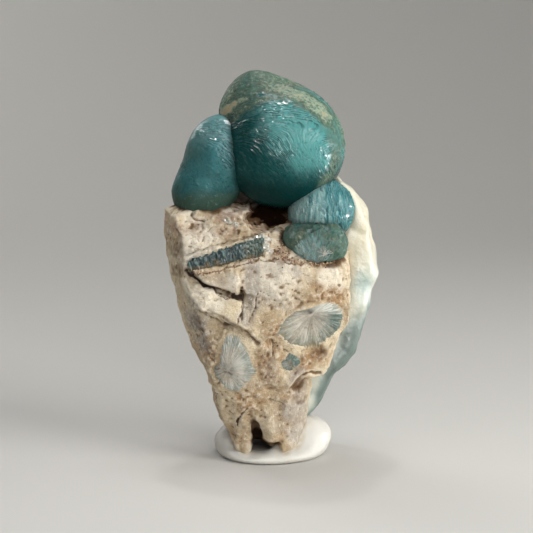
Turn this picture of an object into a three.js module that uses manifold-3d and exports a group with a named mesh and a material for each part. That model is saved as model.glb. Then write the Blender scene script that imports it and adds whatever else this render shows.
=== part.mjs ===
// A wavellite specimen: teal globes grown together on a wedge of tan host rock, with a seam,
// three broken fans of needles and a pale crust, stood upright in a dab of white putty.
// Millimetres, +Z up, seen from -Y. The origin is the middle of the putty's flat underside.
import * as THREE from "three";
import { ConvexGeometry } from "three/addons/geometries/ConvexGeometry.js";
import { ImprovedNoise } from "three/addons/math/ImprovedNoise.js";
import { TessellateModifier } from "three/addons/modifiers/TessellateModifier.js";
import { mergeVertices } from "three/addons/utils/BufferGeometryUtils.js";
import Module from "manifold-3d";

const wasm = await Module();
wasm.setup();
const noise = new ImprovedNoise();

// Driving dimensions
const BIG_GLOBE_RADIUS = 5.5;
const PUTTY_WIDTH = 10.6;
const PUTTY_HEIGHT = 3.45;
const CRUST_THICKNESS = 2.1;
const VEIN_LENGTH = 6.7;
const VEIN_DEPTH = 1.5;
const FAN_THICKNESS = 1.2;

// Fineness and clearance
const GAP = 0.2; // clearance between pieces that touch in the real stone
const MERGE = 0.01; // corners closer than this become one
const POCKET_SAG = 0.12; // what a coarse pocket's flat faces take from its clearance
const ROCK_EDGE = 3.3; // longest triangle edge on the host rock
const ROCK_ROUGHNESS = 0.24; // how far the broken rock strays from its flat faces

// The globes: centre, radius, stretch along x, y and z, and fineness
const GLOBES = [
  { at: [1.07, 0.1, 28.18], radius: BIG_GLOBE_RADIUS, stretch: [1, 1, 1], detail: 5 },
  { at: [-1.2, 1.5, 31.35], radius: 3.65, stretch: [1, 1, 1], detail: 4 },
  { at: [1.7, 1.0, 31.1], radius: 2.35, stretch: [1, 1, 1], detail: 3 },
  { at: [-4.15, 0.1, 27.4], radius: 3.5, stretch: [1, 1, 1], detail: 4 },
  { at: [-5.75, 0.3, 24.6], radius: 2.65, stretch: [1, 1.1, 1], detail: 3 },
  { at: [-6.85, 0.2, 23.9], radius: 2.05, stretch: [1, 1.05, 1], detail: 2 },
  { at: [4.5, -1.3, 22.6], radius: 2.95, stretch: [1, 1, 1], detail: 3 },
  { at: [4.45, -3.2, 19.9], radius: 2.3, stretch: [1.02, 0.92, 0.9], detail: 3 },
  { at: [1.9, -3.3, 20.35], radius: 1.15, stretch: [1.1, 1, 0.85], detail: 2 },
];
// The left globes stand on the ledge at this height
const LEDGE_SEAT = 23.15;

// The host rock is broken blocks, each the hull of its corners
const BLOCKS = {
  body: [
    [-9.4, -0.9, 22.7], [-9.55, -1.2, 19.4], [-9.0, -1.5, 17.0], [-8.2, -1.4, 13.8],
    [-7.2, -1.2, 10.4], [-6.4, -1.0, 8.7], [-7.45, -4.8, 18.5], [-7.6, -4.6, 16.9],
    [-6.3, -4.7, 13.6], [-5.6, -4.5, 11.2], [-0.9, -5.0, 19.0], [6.6, -4.2, 18.9],
    [7.0, -3.7, 17.2], [6.9, -3.7, 14.5], [6.5, -3.7, 13.0], [5.7, -3.7, 11.4],
    [4.7, -3.5, 8.7], [-8.6, 2.2, 22.9], [-7.6, 3.6, 20.0], [-5.2, 3.2, 9.4],
    [4.4, 2.8, 9.2], [7.1, 1.0, 18.6], [5.6, 3.8, 18.0], [-3.0, 4.2, 22.8],
    [3.0, 4.2, 21.8], [-8.5, -2.3, 22.4], [-3.0, -2.4, 22.7], [3.4, -0.6, 22.3],
  ],
  back_rise: [
    [-6.2, 2.2, 21.2], [-3.6, 1.9, 24.9], [-1.4, 2.4, 25.4], [2.6, 2.6, 24.6],
    [4.6, 2.4, 22.0], [-5.4, 4.6, 21.2], [-3.2, 4.4, 24.2], [1.8, 4.8, 23.9],
    [3.6, 4.0, 21.6], [-4.8, 1.4, 22.0], [3.6, 1.4, 21.8],
  ],
  back_upper: [
    [-8.0, 1.8, 21.9], [-6.9, 4.6, 20.9], [-3.4, 5.5, 21.4], [-2.4, 5.6, 17.6],
    [-6.4, 5.0, 16.9], [-8.2, 1.6, 17.2], [-2.6, 1.0, 21.6], [-2.4, 1.0, 17.2],
  ],
  back_lower: [
    [-6.2, 2.9, 13.6], [-3.0, 4.9, 13.4], [1.6, 4.7, 12.4], [1.4, 4.3, 8.2],
    [-3.0, 4.6, 7.6], [-5.2, 3.0, 8.4], [-5.4, 0.0, 12.8], [1.6, 0.0, 12.0],
    [1.2, 0.0, 8.0], [-4.8, 0.0, 8.0],
  ],
  back_foot: [
    [-3.8, 2.6, 6.8], [-1.2, 3.6, 6.4], [2.4, 3.0, 5.6], [2.2, 2.4, 1.9],
    [-0.8, 3.2, 1.6], [-3.6, 2.0, 2.0], [-3.0, 0.0, 6.0], [2.0, 0.0, 5.0],
    [0.0, 0.0, 1.8],
  ],
  upper_front: [
    [-7.3, -5.0, 18.3], [-3.9, -5.3, 18.4], [-1.2, -5.3, 18.9], [1.2, -5.3, 18.6],
    [4.3, -5.1, 18.5], [6.5, -4.4, 18.7], [-6.5, -5.5, 17.1], [-4.8, -5.8, 16.3],
    [-3.1, -5.9, 15.9], [-0.8, -5.9, 16.1], [1.2, -5.8, 15.4], [3.6, -5.5, 15.2],
    [6.9, -4.1, 17.0], [6.8, -4.2, 14.6], [-6.2, -2.0, 18.0], [6.0, -2.0, 18.0],
    [-2.0, -2.0, 15.6], [5.0, -2.0, 15.0],
  ],
  left_slab: [
    [-7.6, -4.8, 16.9], [-7.15, -5.1, 15.8], [-6.4, -5.35, 14.7], [-5.9, -5.5, 14.3],
    [-4.6, -5.8, 14.2], [-3.9, -5.9, 13.4], [-2.8, -6.0, 13.0], [-1.3, -5.7, 11.9],
    [-6.6, -5.1, 16.7], [-4.6, -5.4, 15.5], [-2.6, -5.5, 15.2], [-0.9, -5.3, 14.8],
    [-6.8, -2.0, 14.2], [-1.0, -2.0, 12.4],
  ],
  right_cheek: [
    [-1.4, -5.7, 15.8], [2.0, -5.7, 15.4], [6.8, -4.2, 14.8], [6.5, -4.0, 12.9],
    [5.7, -4.1, 11.3], [5.1, -4.1, 9.5], [4.7, -4.0, 8.4], [3.5, -4.8, 8.8],
    [2.4, -5.2, 8.3], [1.5, -5.2, 7.2], [-0.8, -5.4, 7.6], [-2.2, -5.5, 10.8],
    [-1.4, -5.5, 12.0], [5.2, -1.5, 8.8], [0.0, -1.5, 7.6],
  ],
  left_flank: [
    [-5.6, -4.6, 11.4], [-4.0, -5.3, 13.0], [-1.6, -5.5, 11.8], [-6.3, -3.2, 10.4],
    [-5.4, -4.4, 8.9], [-5.3, -4.0, 7.6], [-4.8, -3.9, 6.6], [-3.2, -4.9, 6.4],
    [-1.4, -5.1, 6.8], [-0.8, -5.3, 8.6], [-5.4, -1.0, 7.0], [-1.6, -1.0, 6.4],
    [-6.3, -1.0, 8.8],
  ],
  stem: [
    [-5.25, -1.0, 5.4], [-5.0, -2.8, 5.6], [-4.6, -1.0, 3.8], [-4.4, -2.9, 3.6],
    [-4.0, -2.6, 2.6], [-3.4, -3.6, 3.9], [-4.5, -4.0, 6.6], [-3.1, -4.8, 6.4],
    [0.0, -4.6, 6.1], [1.5, -5.0, 7.1], [0.45, -4.3, 4.2], [0.6, -4.1, 2.7],
    [2.9, -3.0, 5.8], [2.7, -2.6, 3.4], [3.1, -1.2, 3.0], [3.1, 1.2, 3.0],
    [3.6, -2.0, 8.6], [4.2, 3.0, 9.0], [-5.0, 3.2, 9.0], [-3.8, 2.2, 2.6],
    [1.6, 2.6, 2.8], [-5.4, -1.0, 7.1], [-0.6, -3.8, 2.9], [0.1, -4.0, 2.45],
    [1.0, -3.9, 2.1],
  ],
  left_foot: [
    [-3.05, -3.3, 1.4], [-2.5, -3.5, 1.1], [-2.0, -3.4, 1.4], [-1.75, -3.3, 2.1],
    [-2.6, -1.6, 1.0], [-3.5, -1.4, 1.3], [-4.1, -2.4, 2.8], [-3.4, -3.5, 4.0],
    [-1.5, -3.7, 3.6], [-1.2, 0.4, 3.4], [-4.2, 0.6, 3.4],
  ],
  right_foot: [
    [1.08, -3.8, 1.6], [1.35, -3.7, 0.75], [2.1, -3.2, 1.2], [2.62, -2.6, 1.9],
    [2.4, -1.2, 1.1], [1.0, -1.0, 1.1], [0.2, -4.1, 3.0], [0.6, -4.3, 4.2],
    [2.7, -2.6, 3.6], [3.1, -1.2, 3.4], [3.0, 1.2, 3.4], [-0.2, 1.0, 3.4],
  ],
};

// Cracks in the rock's front: the two ends as x and z, the width at the mouth and the depth
const CRACKS = [
  { from: [-7.9, 18.2], to: [-5.6, 16.4], width: 0.5, depth: 1.6 },
  { from: [-6.0, 16.7], to: [-2.3, 15.3], width: 0.55, depth: 1.3 },
  { from: [-2.38, 16.5], to: [-2.6, 13.4], width: 0.26, depth: 0.9 },
  { from: [-0.95, 16.1], to: [-1.55, 13.7], width: 0.2, depth: 0.7 },
];
const CRACK_FRONT = -7.2; // y where every crack's cutter starts, clear of the rock
const CRACK_SKIN = -5.4; // y of the face that the cracks run into

// Pits: centre and radii along x, y and z
const PITS = [
  { at: [0.1, -5.5, 11.3], size: [0.35, 0.6, 0.7] },
  { at: [1.4, -5.4, 10.9], size: [0.55, 0.6, 0.35] },
  { at: [4.5, -4.9, 10.4], size: [0.7, 0.6, 0.5] },
  { at: [-2.95, -4.1, 3.9], size: [0.2, 0.7, 0.5] },
  { at: [-1.25, -4.3, 2.75], size: [0.5, 1.4, 1.3] },
  { at: [-3.75, -3.9, 21.0], size: [0.6, 0.5, 0.4] },
  { at: [-6.6, -2.9, 21.6], size: [0.8, 0.5, 0.3] },
  { at: [-0.4, -2.6, 22.1], size: [2.3, 2.0, 1.2] },
  { at: [-4.6, 5.6, 15.4], size: [1.3, 0.7, 0.8] },
  { at: [-0.6, 4.9, 10.6], size: [0.9, 0.7, 1.3] },
];

// Fans of needles broken across: centre, tilt about x and z, the reach at equal steps counted
// anticlockwise from +x, the number of rays and the height of each ray's ridge
const FANS = {
  spray_right: {
    at: [3.16, -5.35, 14.5],
    tilt: [0.06, 0.14],
    reach: [3.5, 1.4, 0.8, 0.6, 0.5, 0.5, 0.55, 0.7, 0.9, 2.4, 3.7, 3.6, 3.3, 3.25, 3.55, 3.6],
    rays: 32,
    ridge: 0.14,
  },
  spray_left: {
    at: [-3.8, -5.1, 8.95],
    tilt: [0.1, -0.2],
    reach: [2.4, 2.55, 2.75, 3.3, 3.2, 1.5, 1.2, 1.3, 1.5, 1.6, 1.7, 1.9, 2.05, 2.3, 2.25, 2.3],
    rays: 32,
    ridge: 0.14,
  },
  spray_small: {
    at: [1.68, -5.35, 9.6],
    tilt: [0.1, 0.05],
    reach: [0.9, 0.9, 0.75, 0.65, 0.7, 0.85, 0.95, 0.95],
    rays: 18,
    ridge: 0.1,
  },
};
const FAN_POCKET = 1.2; // how far a fan's pocket opens out in front of it

// The seam along the ledge's edge: where it starts and ends as x and z, and its height there
const VEIN_FRONT = -5.25;
const VEIN_START = { x: -7.35, z: 18.55, height: 1.1 };
const VEIN_END = { z: 20.0, height: 1.6 };
const VEIN_BLADES = 24;

// The crust's course round the rock, seen from above
const CRUST_PATH = new THREE.CatmullRomCurve3([
  new THREE.Vector3(7.2, 0.0, 0),
  new THREE.Vector3(7.5, 2.4, 0),
  new THREE.Vector3(5.6, 4.8, 0),
  new THREE.Vector3(1.6, 5.4, 0),
  new THREE.Vector3(-2.8, 5.0, 0),
]);
const CRUST_PATH_REACH = 7.55; // the largest x on that course
// Height, then how far right the crust reaches there
const CRUST_PROFILE = [
  [3.2, 3.8], [4.6, 4.15], [5.8, 5.1], [6.9, 5.75], [8.0, 6.7], [9.1, 7.5], [10.8, 7.95],
  [11.9, 8.4], [13.7, 9.05], [16.3, 9.7], [17.4, 9.65], [20.2, 9.2], [23.0, 8.85], [24.1, 8.4],
  [25.4, 7.3],
];

// A three.js geometry as a solid that can be cut and joined
function solid(geometry) {
  const bare = geometry.index ? geometry.toNonIndexed() : geometry.clone();
  for (const name of Object.keys(bare.attributes)) {
    if (name !== "position") bare.deleteAttribute(name);
  }
  const merged = mergeVertices(bare, 1e-4);
  return new wasm.Manifold(
    new wasm.Mesh({
      numProp: 3,
      vertProperties: merged.attributes.position.array,
      triVerts: new Uint32Array(merged.index.array),
      tolerance: MERGE,
    }),
  );
}

// A solid as a three.js geometry, without the crumbs that cuts can leave beside the main body
function geometryOf(body) {
  const made = body.getMesh();
  const positions = new Float32Array(made.numVert * 3);
  for (let i = 0; i < made.numVert; i++) {
    const first = i * made.numProp;
    positions.set(made.vertProperties.subarray(first, first + 3), i * 3);
  }
  return new THREE.BufferGeometry()
    .setAttribute("position", new THREE.BufferAttribute(positions, 3))
    .setIndex(mainBody(made.triVerts, made.numVert));
}

// The triangles of the largest group that hangs together by shared corners
function mainBody(triangles, corners) {
  const parent = Array.from({ length: corners }, (_, i) => i);
  const root = (i) => {
    while (parent[i] !== i) {
      parent[i] = parent[parent[i]];
      i = parent[i];
    }
    return i;
  };
  for (let i = 0; i < triangles.length; i += 3) {
    parent[root(triangles[i])] = root(triangles[i + 1]);
    parent[root(triangles[i + 1])] = root(triangles[i + 2]);
  }
  const groups = new Map();
  for (let i = 0; i < triangles.length; i += 3) {
    const key = root(triangles[i]);
    if (!groups.has(key)) groups.set(key, []);
    groups.get(key).push(triangles[i], triangles[i + 1], triangles[i + 2]);
  }
  return [...groups.values()].reduce((a, b) => (b.length > a.length ? b : a));
}

// Moves every vertex of a geometry by a function of its place
function moved(geometry, move) {
  const place = geometry.attributes.position;
  const point = new THREE.Vector3();
  for (let i = 0; i < place.count; i++) {
    point.fromBufferAttribute(place, i);
    move(point);
    place.setXYZ(i, point.x, point.y, point.z);
  }
  return geometry;
}

// A smooth random push at a point, for features about `size` millimetres across
function push(point, size) {
  const [x, y, z] = [point.x / size, point.y / size, point.z / size];
  return new THREE.Vector3(
    noise.noise(x + 3.1, y, z),
    noise.noise(x, y + 17.3, z),
    noise.noise(x, y, z + 41.7),
  );
}

// The value at x in a list of [x, value] pairs, on straight lines between them
function between(pairs, x) {
  const above = pairs.findIndex(([at]) => at >= x);
  if (above === 0) return pairs[0][1];
  if (above < 0) return pairs.at(-1)[1];
  const [[x0, value0], [x1, value1]] = [pairs[above - 1], pairs[above]];
  return THREE.MathUtils.mapLinear(x, x0, x1, value0, value1);
}

function hull(corners) {
  return new ConvexGeometry(corners.map((corner) => new THREE.Vector3(...corner)));
}

function ellipsoid(at, size, detail) {
  return new THREE.IcosahedronGeometry(1, detail).scale(...size).translate(...at);
}

// One globe, a little uneven, grown on all sides by `grow`
function globe({ at, radius, stretch }, detail, grow) {
  const centre = new THREE.Vector3(...at);
  const size = stretch.map((share) => radius * share + grow);
  return moved(ellipsoid(at, size, detail), (point) => {
    const out = point.clone().sub(centre).normalize();
    point.addScaledVector(out, noise.noise(point.x * 0.9, point.y * 0.9, point.z * 0.9) * 0.16);
  });
}

// All globes grown together, with the left ones cut off flat where they stand on the ledge
function globeCluster(pocket) {
  const grow = pocket ? GAP + POCKET_SAG : 0;
  const fineness = (one) => (pocket ? (one.radius > 3 ? 3 : 2) : one.detail);
  const globes = GLOBES.map((one) => solid(globe(one, fineness(one), grow)));
  const joined = globes.reduce((all, next) => all.add(next));
  const below = new THREE.BoxGeometry(8, 12, 8).translate(-7, 0, LEDGE_SEAT - grow - 4);
  return joined.subtract(solid(below));
}

// A wedge-shaped crack that runs into the rock's front face
function crack({ from, to, width, depth }) {
  const mouth = new THREE.Shape([
    new THREE.Vector2(-width / 2, CRACK_FRONT),
    new THREE.Vector2(width / 2, CRACK_FRONT),
    new THREE.Vector2(width / 2, CRACK_SKIN),
    new THREE.Vector2(0, CRACK_SKIN + depth),
    new THREE.Vector2(-width / 2, CRACK_SKIN),
  ]);
  const run = new THREE.Vector3(to[0] - from[0], 0, to[1] - from[1]);
  const slit = new THREE.ExtrudeGeometry(mouth, { depth: run.length(), bevelEnabled: false });
  const along = run.clone().normalize();
  const inward = new THREE.Vector3(0, 1, 0);
  const across = new THREE.Vector3().crossVectors(inward, along);
  slit.applyMatrix4(new THREE.Matrix4().makeBasis(across, inward, along));
  return slit.translate(from[0], 0, from[1]);
}

// The reach of a fan at an angle, between the values given for equal steps round the circle
function reachAt(reach, angle) {
  const turn = (angle / (2 * Math.PI) + 1) % 1;
  const step = turn * reach.length;
  const low = Math.floor(step) % reach.length;
  const high = (low + 1) % reach.length;
  return THREE.MathUtils.lerp(reach[low], reach[high], step - Math.floor(step));
}

// A fan: a disc whose front has a ridge on every other ray, or the pocket that it sits in
function fan({ at, tilt, reach, rays, ridge }, pocket) {
  const grow = pocket ? GAP : 0;
  const front = pocket ? FAN_POCKET : 0;
  const disc = new THREE.CylinderGeometry(1, pocket ? 1 : 0.8, 1, rays, 1);
  moved(disc, (point) => {
    const share = Math.hypot(point.x, point.z);
    const angle = Math.atan2(-point.z, point.x);
    const ray = Math.round((angle / (2 * Math.PI)) * rays + rays) % rays;
    const frayed = 1 + 0.06 * noise.noise(ray * 0.7, at[0], at[2]);
    const span = share * (reachAt(reach, angle) * frayed + grow);
    const crest = share < 0.5 ? 1.6 * ridge : ray % 2 === 0 ? ridge : 0;
    const height = point.y > 0 ? crest + front : -FAN_THICKNESS - grow;
    point.set(Math.cos(angle) * span, -height, Math.sin(angle) * span);
  });
  return disc.rotateX(tilt[0]).rotateZ(tilt[1]).translate(...at);
}

// The seam: a bar whose front is a comb of upright blades with a ragged top
function vein(grow) {
  const half = VEIN_LENGTH / 2 + grow;
  const outline = [new THREE.Vector2(half, VEIN_DEPTH + grow), new THREE.Vector2(-half, VEIN_DEPTH + grow)];
  for (let i = 0; i <= 2 * VEIN_BLADES; i++) {
    const x = THREE.MathUtils.lerp(-half, half, i / (2 * VEIN_BLADES));
    outline.push(new THREE.Vector2(x, (i % 2 === 0 ? 0.14 : 0) - grow));
  }
  const bar = new THREE.ExtrudeGeometry(new THREE.Shape(outline.reverse()), { depth: 1, bevelEnabled: false });
  return moved(bar, (point) => {
    const share = point.x / VEIN_LENGTH + 0.5;
    const middle = THREE.MathUtils.lerp(VEIN_START.z, VEIN_END.z, share);
    const tall = THREE.MathUtils.lerp(VEIN_START.height, VEIN_END.height, share) / 2 + grow;
    const ragged = 0.12 * noise.noise(point.x * 2.3, point.y, 4.4);
    const z = point.z > 0.5 ? middle + tall + ragged : middle - tall;
    point.set(VEIN_START.x + share * VEIN_LENGTH, VEIN_FRONT + point.y, z);
  });
}

// The crust: a slab bent round the right side and the back, lumpy outside and thin at its rims
function crust(pocket) {
  const grow = pocket ? GAP + POCKET_SAG : 0;
  const fineness = pocket ? 12 : 15;
  const slab = new THREE.BoxGeometry(1, 1, 1, fineness, fineness, 1);
  const low = CRUST_PROFILE[0][0] - grow;
  const high = CRUST_PROFILE.at(-1)[0] + grow;
  return moved(slab, (point) => {
    const up = point.y + 0.5;
    const frontRim = 0.05 * noise.noise(up * 5, 0.4, 7.1);
    const backRim = 0.84 + 0.22 * noise.noise(up * 4, 3.2, 0.7);
    const along = THREE.MathUtils.lerp(frontRim, backRim, point.x + 0.5);
    const place = CRUST_PATH.getPoint(Math.max(0, along));
    const tangent = CRUST_PATH.getTangent(Math.max(0, along));
    place.addScaledVector(tangent, 12 * Math.min(0, along));
    const drop = 9 * Math.pow(Math.max(0, along - 0.35), 1.4);
    const z = THREE.MathUtils.lerp(low, high - drop, up);
    const scale = (between(CRUST_PROFILE, z) - CRUST_THICKNESS) / CRUST_PATH_REACH;
    const inside = Math.min(up, 1 - up, point.x + 0.62, 0.55 - point.x);
    const rim = THREE.MathUtils.clamp(5 * inside, 0, 1);
    const lumps = 1 + 0.35 * noise.noise(place.x * 0.55, place.y * 0.55, z * 0.5);
    const thick = CRUST_THICKNESS * (0.45 + 0.55 * rim) * lumps + grow;
    const offset = point.z > 0 ? thick : -0.4 - grow;
    const end = Math.abs(point.x) > 0.49 ? Math.sign(point.x) * grow : 0;
    point.set(
      place.x * scale + tangent.y * offset + tangent.x * end,
      place.y * (0.45 + 0.55 * scale) - tangent.x * offset + tangent.y * end,
      z,
    );
  });
}

// The putty: a pressed dab with a flat underside, low in front and on the left
function putty(grow) {
  const side = new THREE.SplineCurve([
    new THREE.Vector2(0.86, 0),
    new THREE.Vector2(0.98, 0.2),
    new THREE.Vector2(1.0, 0.48),
    new THREE.Vector2(0.92, 0.8),
    new THREE.Vector2(0.7, 1.0),
    new THREE.Vector2(0.45, 0.97),
  ]).getPoints(8);
  const profile = [new THREE.Vector2(0, 0), ...side, new THREE.Vector2(0, 0.95)];
  const dab = new THREE.LatheGeometry(profile, 32).rotateX(Math.PI / 2);
  return moved(dab, (point) => {
    const angle = Math.atan2(point.y, point.x);
    const lobes = 1 + 0.05 * Math.cos(2 * angle) + 0.03 * Math.sin(3 * angle + 0.6);
    const radius = (PUTTY_WIDTH / 2) * 0.96 * lobes;
    const left = THREE.MathUtils.lerp(0.8, 1, THREE.MathUtils.smoothstep(point.x, -0.6, 0.5));
    const back = THREE.MathUtils.lerp(0.36, 1, THREE.MathUtils.smoothstep(point.y, -0.75, -0.05));
    point.set(
      point.x * (radius + grow),
      point.y * (radius * 0.93 + grow),
      point.z * (PUTTY_HEIGHT * left * back + grow),
    );
  });
}

// The host rock: its blocks joined, roughened, cracked and pitted, then cut for what sits in it
function matrix() {
  const blocks = Object.values(BLOCKS).map((corners) => solid(hull(corners)));
  const joined = geometryOf(blocks.reduce((all, next) => all.add(next)));
  const fine = new TessellateModifier(ROCK_EDGE, 12).modify(joined.toNonIndexed());
  const rough = moved(fine, (point) => {
    const coarse = push(point, 2.6).multiplyScalar(ROCK_ROUGHNESS);
    point.add(coarse).addScaledVector(push(point, 1.2), ROCK_ROUGHNESS / 2);
  });
  const cutters = [
    ...CRACKS.map(crack),
    ...PITS.map(({ at, size }) => ellipsoid(at, size, 1)),
    ...Object.values(FANS).map((one) => fan(one, true)),
    vein(GAP),
    crust(true),
    putty(GAP),
  ];
  const cut = cutters.reduce((rock, cutter) => rock.subtract(solid(cutter)), solid(rough));
  return cut.subtract(globeCluster(true));
}

function material(color, roughness) {
  return new THREE.MeshStandardMaterial({ color, roughness, metalness: 0, flatShading: true });
}

const STONE = material("#c9b48f", 0.9);
const TEAL = material("#23686b", 0.25);
const DULL_TEAL = material("#3c6a68", 0.4);
const SILK = material("#a9b3a6", 0.45);
const PALE = material("#cfdcd4", 0.45);
const WHITE_PUTTY = material("#f1efe6", 0.6);

const specimen = new THREE.Group();

function addPiece(name, body, finish) {
  const mesh = new THREE.Mesh(geometryOf(body), finish);
  mesh.name = name;
  specimen.add(mesh);
}

addPiece("matrix", matrix(), STONE);
addPiece("globe_cluster", globeCluster(false), TEAL);
addPiece("ledge_vein", solid(vein(0)).subtract(globeCluster(true)), DULL_TEAL);
for (const [name, one] of Object.entries(FANS)) {
  addPiece(name, solid(fan(one, false)), SILK);
}
const crustBody = solid(crust(false)).subtract(globeCluster(true)).subtract(solid(putty(GAP)));
addPiece("back_crust", crustBody, PALE);
addPiece("putty", solid(putty(0)), WHITE_PUTTY);

export default specimen;
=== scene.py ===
"""A wavellite specimen: teal globes with scaly skins on a wedge of tan host rock, with a seam of
upright blades, three broken fans of needles and a pale crust, stood in a dab of white putty.

Meshes are shaped in millimetres, +Z up and seen from -Y, and are scaled to metres as they are finished.
"""

import itertools
import math

import bmesh
import bpy
import numpy as np
from bpy.props import FloatProperty, FloatVectorProperty, IntProperty, PointerProperty
from mathutils import Matrix, Vector
from mathutils.bvhtree import BVHTree


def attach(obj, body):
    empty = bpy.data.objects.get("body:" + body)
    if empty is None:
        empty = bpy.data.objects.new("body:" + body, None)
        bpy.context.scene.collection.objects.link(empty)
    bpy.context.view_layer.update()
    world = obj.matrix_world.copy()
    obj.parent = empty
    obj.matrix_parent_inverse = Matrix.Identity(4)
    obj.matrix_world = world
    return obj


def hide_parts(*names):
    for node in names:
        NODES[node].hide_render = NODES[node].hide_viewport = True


bl_info = {
    "name": "Wavellite specimen",
    "version": (1, 0, 0),
    "blender": (4, 5, 0),
    "location": "View3D > Sidebar > Wavellite",
    "description": "Builds the looks of a wavellite mineral specimen round its solids",
    "category": "Add Mesh",
}

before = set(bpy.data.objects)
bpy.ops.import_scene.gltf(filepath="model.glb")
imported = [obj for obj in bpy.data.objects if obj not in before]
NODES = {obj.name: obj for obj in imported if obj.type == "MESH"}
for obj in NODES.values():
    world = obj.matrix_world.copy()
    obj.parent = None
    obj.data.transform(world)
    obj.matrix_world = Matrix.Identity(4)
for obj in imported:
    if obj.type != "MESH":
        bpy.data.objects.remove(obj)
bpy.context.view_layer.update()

MM = 0.001
PER_MM = 1 / MM

# The globes that grow together in each piece: centre, radius, and stretch along x, y and z
BALLS = {
    "globe_big": [((1.07, 0.1, 28.18), 5.5, (1, 1, 1))],
    "globe_rear": [
        ((-1.25, 1.5, 30.85), 3.42, (1, 1, 1)),
        ((-1.4, 1.5, 32.95), 1.85, (1, 1, 1)),
        ((0.25, 1.3, 32.25), 1.85, (1, 1, 1)),
        ((1.7, 1.0, 31.1), 2.3, (1, 1, 1)),
    ],
    "globe_left": [
        ((-4.1, 0.1, 27.6), 3.5, (1, 1, 1)),
        ((-5.6, 0.3, 24.5), 2.6, (1, 1.1, 1)),
        ((-6.85, 0.2, 23.8), 2.0, (1, 1.05, 1)),
        ((-6.3, 0.2, 25.9), 1.55, (1, 1.2, 1)),
    ],
    "globe_right": [((4.5, -1.3, 22.6), 2.95, (1, 1, 1))],
    "globe_half": [
        ((4.4, -3.2, 20.0), 2.3, (1.02, 0.92, 0.96)),
        ((2.2, -3.4, 20.5), 1.15, (1, 0.95, 1)),
    ],
}
# How each globe's scales lie: the pole that they ring, their width along the rings and across
# them, how far they lean down to the right low on the globe, and how finely the globe is divided
SCALES = {
    "globe_big": {"pole": (0.05, 0.5, 0.87), "width": 0.62, "step": 0.22, "lean": 1.2, "cuts": 5},
    "globe_rear": {"pole": (-0.1, 0.7, 0.7), "width": 0.5, "step": 0.28, "lean": 0.3, "cuts": 3},
    "globe_left": {"pole": (0.3, 0.45, 0.84), "width": 0.5, "step": 0.25, "lean": 0.4, "cuts": 4},
    "globe_right": {"pole": (0.97, 0.2, 0.1), "width": 0.75, "step": 0.19, "lean": 0.2, "cuts": 3},
    "globe_half": {
        "pole": (0.2, -0.5, -0.84), "width": 0.4, "step": 0.22, "lean": 0.3, "cuts": 3,
        "spread": (4.0, -3.4, 18.3),
    },
}
# Where scales stand out and glint, as places with a radius; the skin is smooth elsewhere
LIVELY = {
    "globe_big": [
        ((1.5, -4.0, 31.8), 1.9), ((3.4, -3.7, 31.3), 1.4), ((-0.2, -3.3, 32.3), 1.2),
        ((-0.8, -4.8, 29.9), 1.0), ((0.9, -5.4, 28.6), 1.4), ((5.1, -3.6, 28.4), 1.1),
        ((5.7, -2.7, 27.2), 1.3), ((5.0, -3.2, 26.2), 1.0),
    ],
    "globe_left": [((-5.5, -1.7, 30.2), 1.3), ((-4.4, -2.8, 29.3), 1.2), ((-3.6, -3.3, 27.8), 1.3)],
    "globe_right": [((4.5, -4.0, 22.6), 6.0)],
    "globe_half": [((4.0, -5.0, 20.0), 4.0)],
}
# Lines over the two top globes: the thick tan ridge where they join, and the pale speckled coat
TAN_RIDGE = [(-4.4, 31.2), (-3.9, 31.54), (-3.4, 31.88), (-2.9, 32.16), (-1.9, 32.55)]
PALE_COAT = [
    (-0.6, -0.75, 34.1), (1.0, -1.5, 33.5), (2.57, -1.94, 33.06), (3.69, -2.23, 32.42), (4.58, -2.5, 31.34),
]
JOIN_COAT = [
    (-3.3, -2.1, 31.0), (-2.4, -2.2, 31.8), (-0.9, -2.4, 32.6), (0.9, -2.5, 32.9), (2.8, -2.8, 32.5),
]
LIMB_COAT = [
    (4.6, -2.5, 31.3), (5.5, -2.8, 29.8), (5.9, -2.6, 28.2), (5.6, -2.7, 26.8), (4.8, -2.8, 25.4),
]
LEDGE_SEAT = 22.4  # the left globes go no lower than this into the ledge
HALF_FLOOR = 18.55  # the half globe is broken off flat at this height
HALF_FRESH = (3.4, 19.3)  # x and z of the freshly broken place at the half globe's foot
REAR_TURNS = 80  # how often the rear globe's skin is blurred, to smooth its balls' joins away

# Fans of needles: centre, tilt about x and z, and reach at equal steps anticlockwise from +x,
# with the middle of the pocket that a fan sits in, where that is not the fan's centre
FANS = {
    "spray_right": {
        "at": (3.55, -5.28, 14.1),
        "pocket": (3.2, -5.3, 13.6),
        "tilt": (0.06, 0.14),
        "reach": [
            3.05, 2.6, 1.75, 1.15, 0.85, 0.65, 0.55, 0.55, 0.55, 0.6, 0.75, 1.15,
            1.8, 2.55, 3.65, 3.6, 3.55, 3.35, 3.15, 3.05, 3.05, 3.15, 3.25, 3.25,
        ],
        "rays": 150,
    },
    "spray_left": {
        "at": (-3.8, -5.1, 8.95),
        "tilt": (0.1, -0.2),
        "reach": [2.4, 2.42, 2.7, 3.2, 3.3, 1.6, 1.05, 1.0, 1.5, 1.4, 1.45, 1.7, 2.1, 2.3, 2.1, 2.2],
        "rays": 110,
    },
    "spray_small": {
        "at": (1.68, -5.35, 9.6),
        "tilt": (0.1, 0.05),
        "reach": [1.0, 0.85, 0.95, 0.55, 0.95, 0.7, 0.75, 0.6],
        "rays": 36,
    },
}

STEPS_PER_RAY = 4  # columns of a fan's mesh for each needle
FAN_ROWS = 44  # rows of a fan's mesh from its centre to its rim
BROWN_CRACK = [(-1.6, 0.05), (-0.7, 0.05), (0.3, -0.35)]  # a stained crack in the left fan's own x and z

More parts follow.
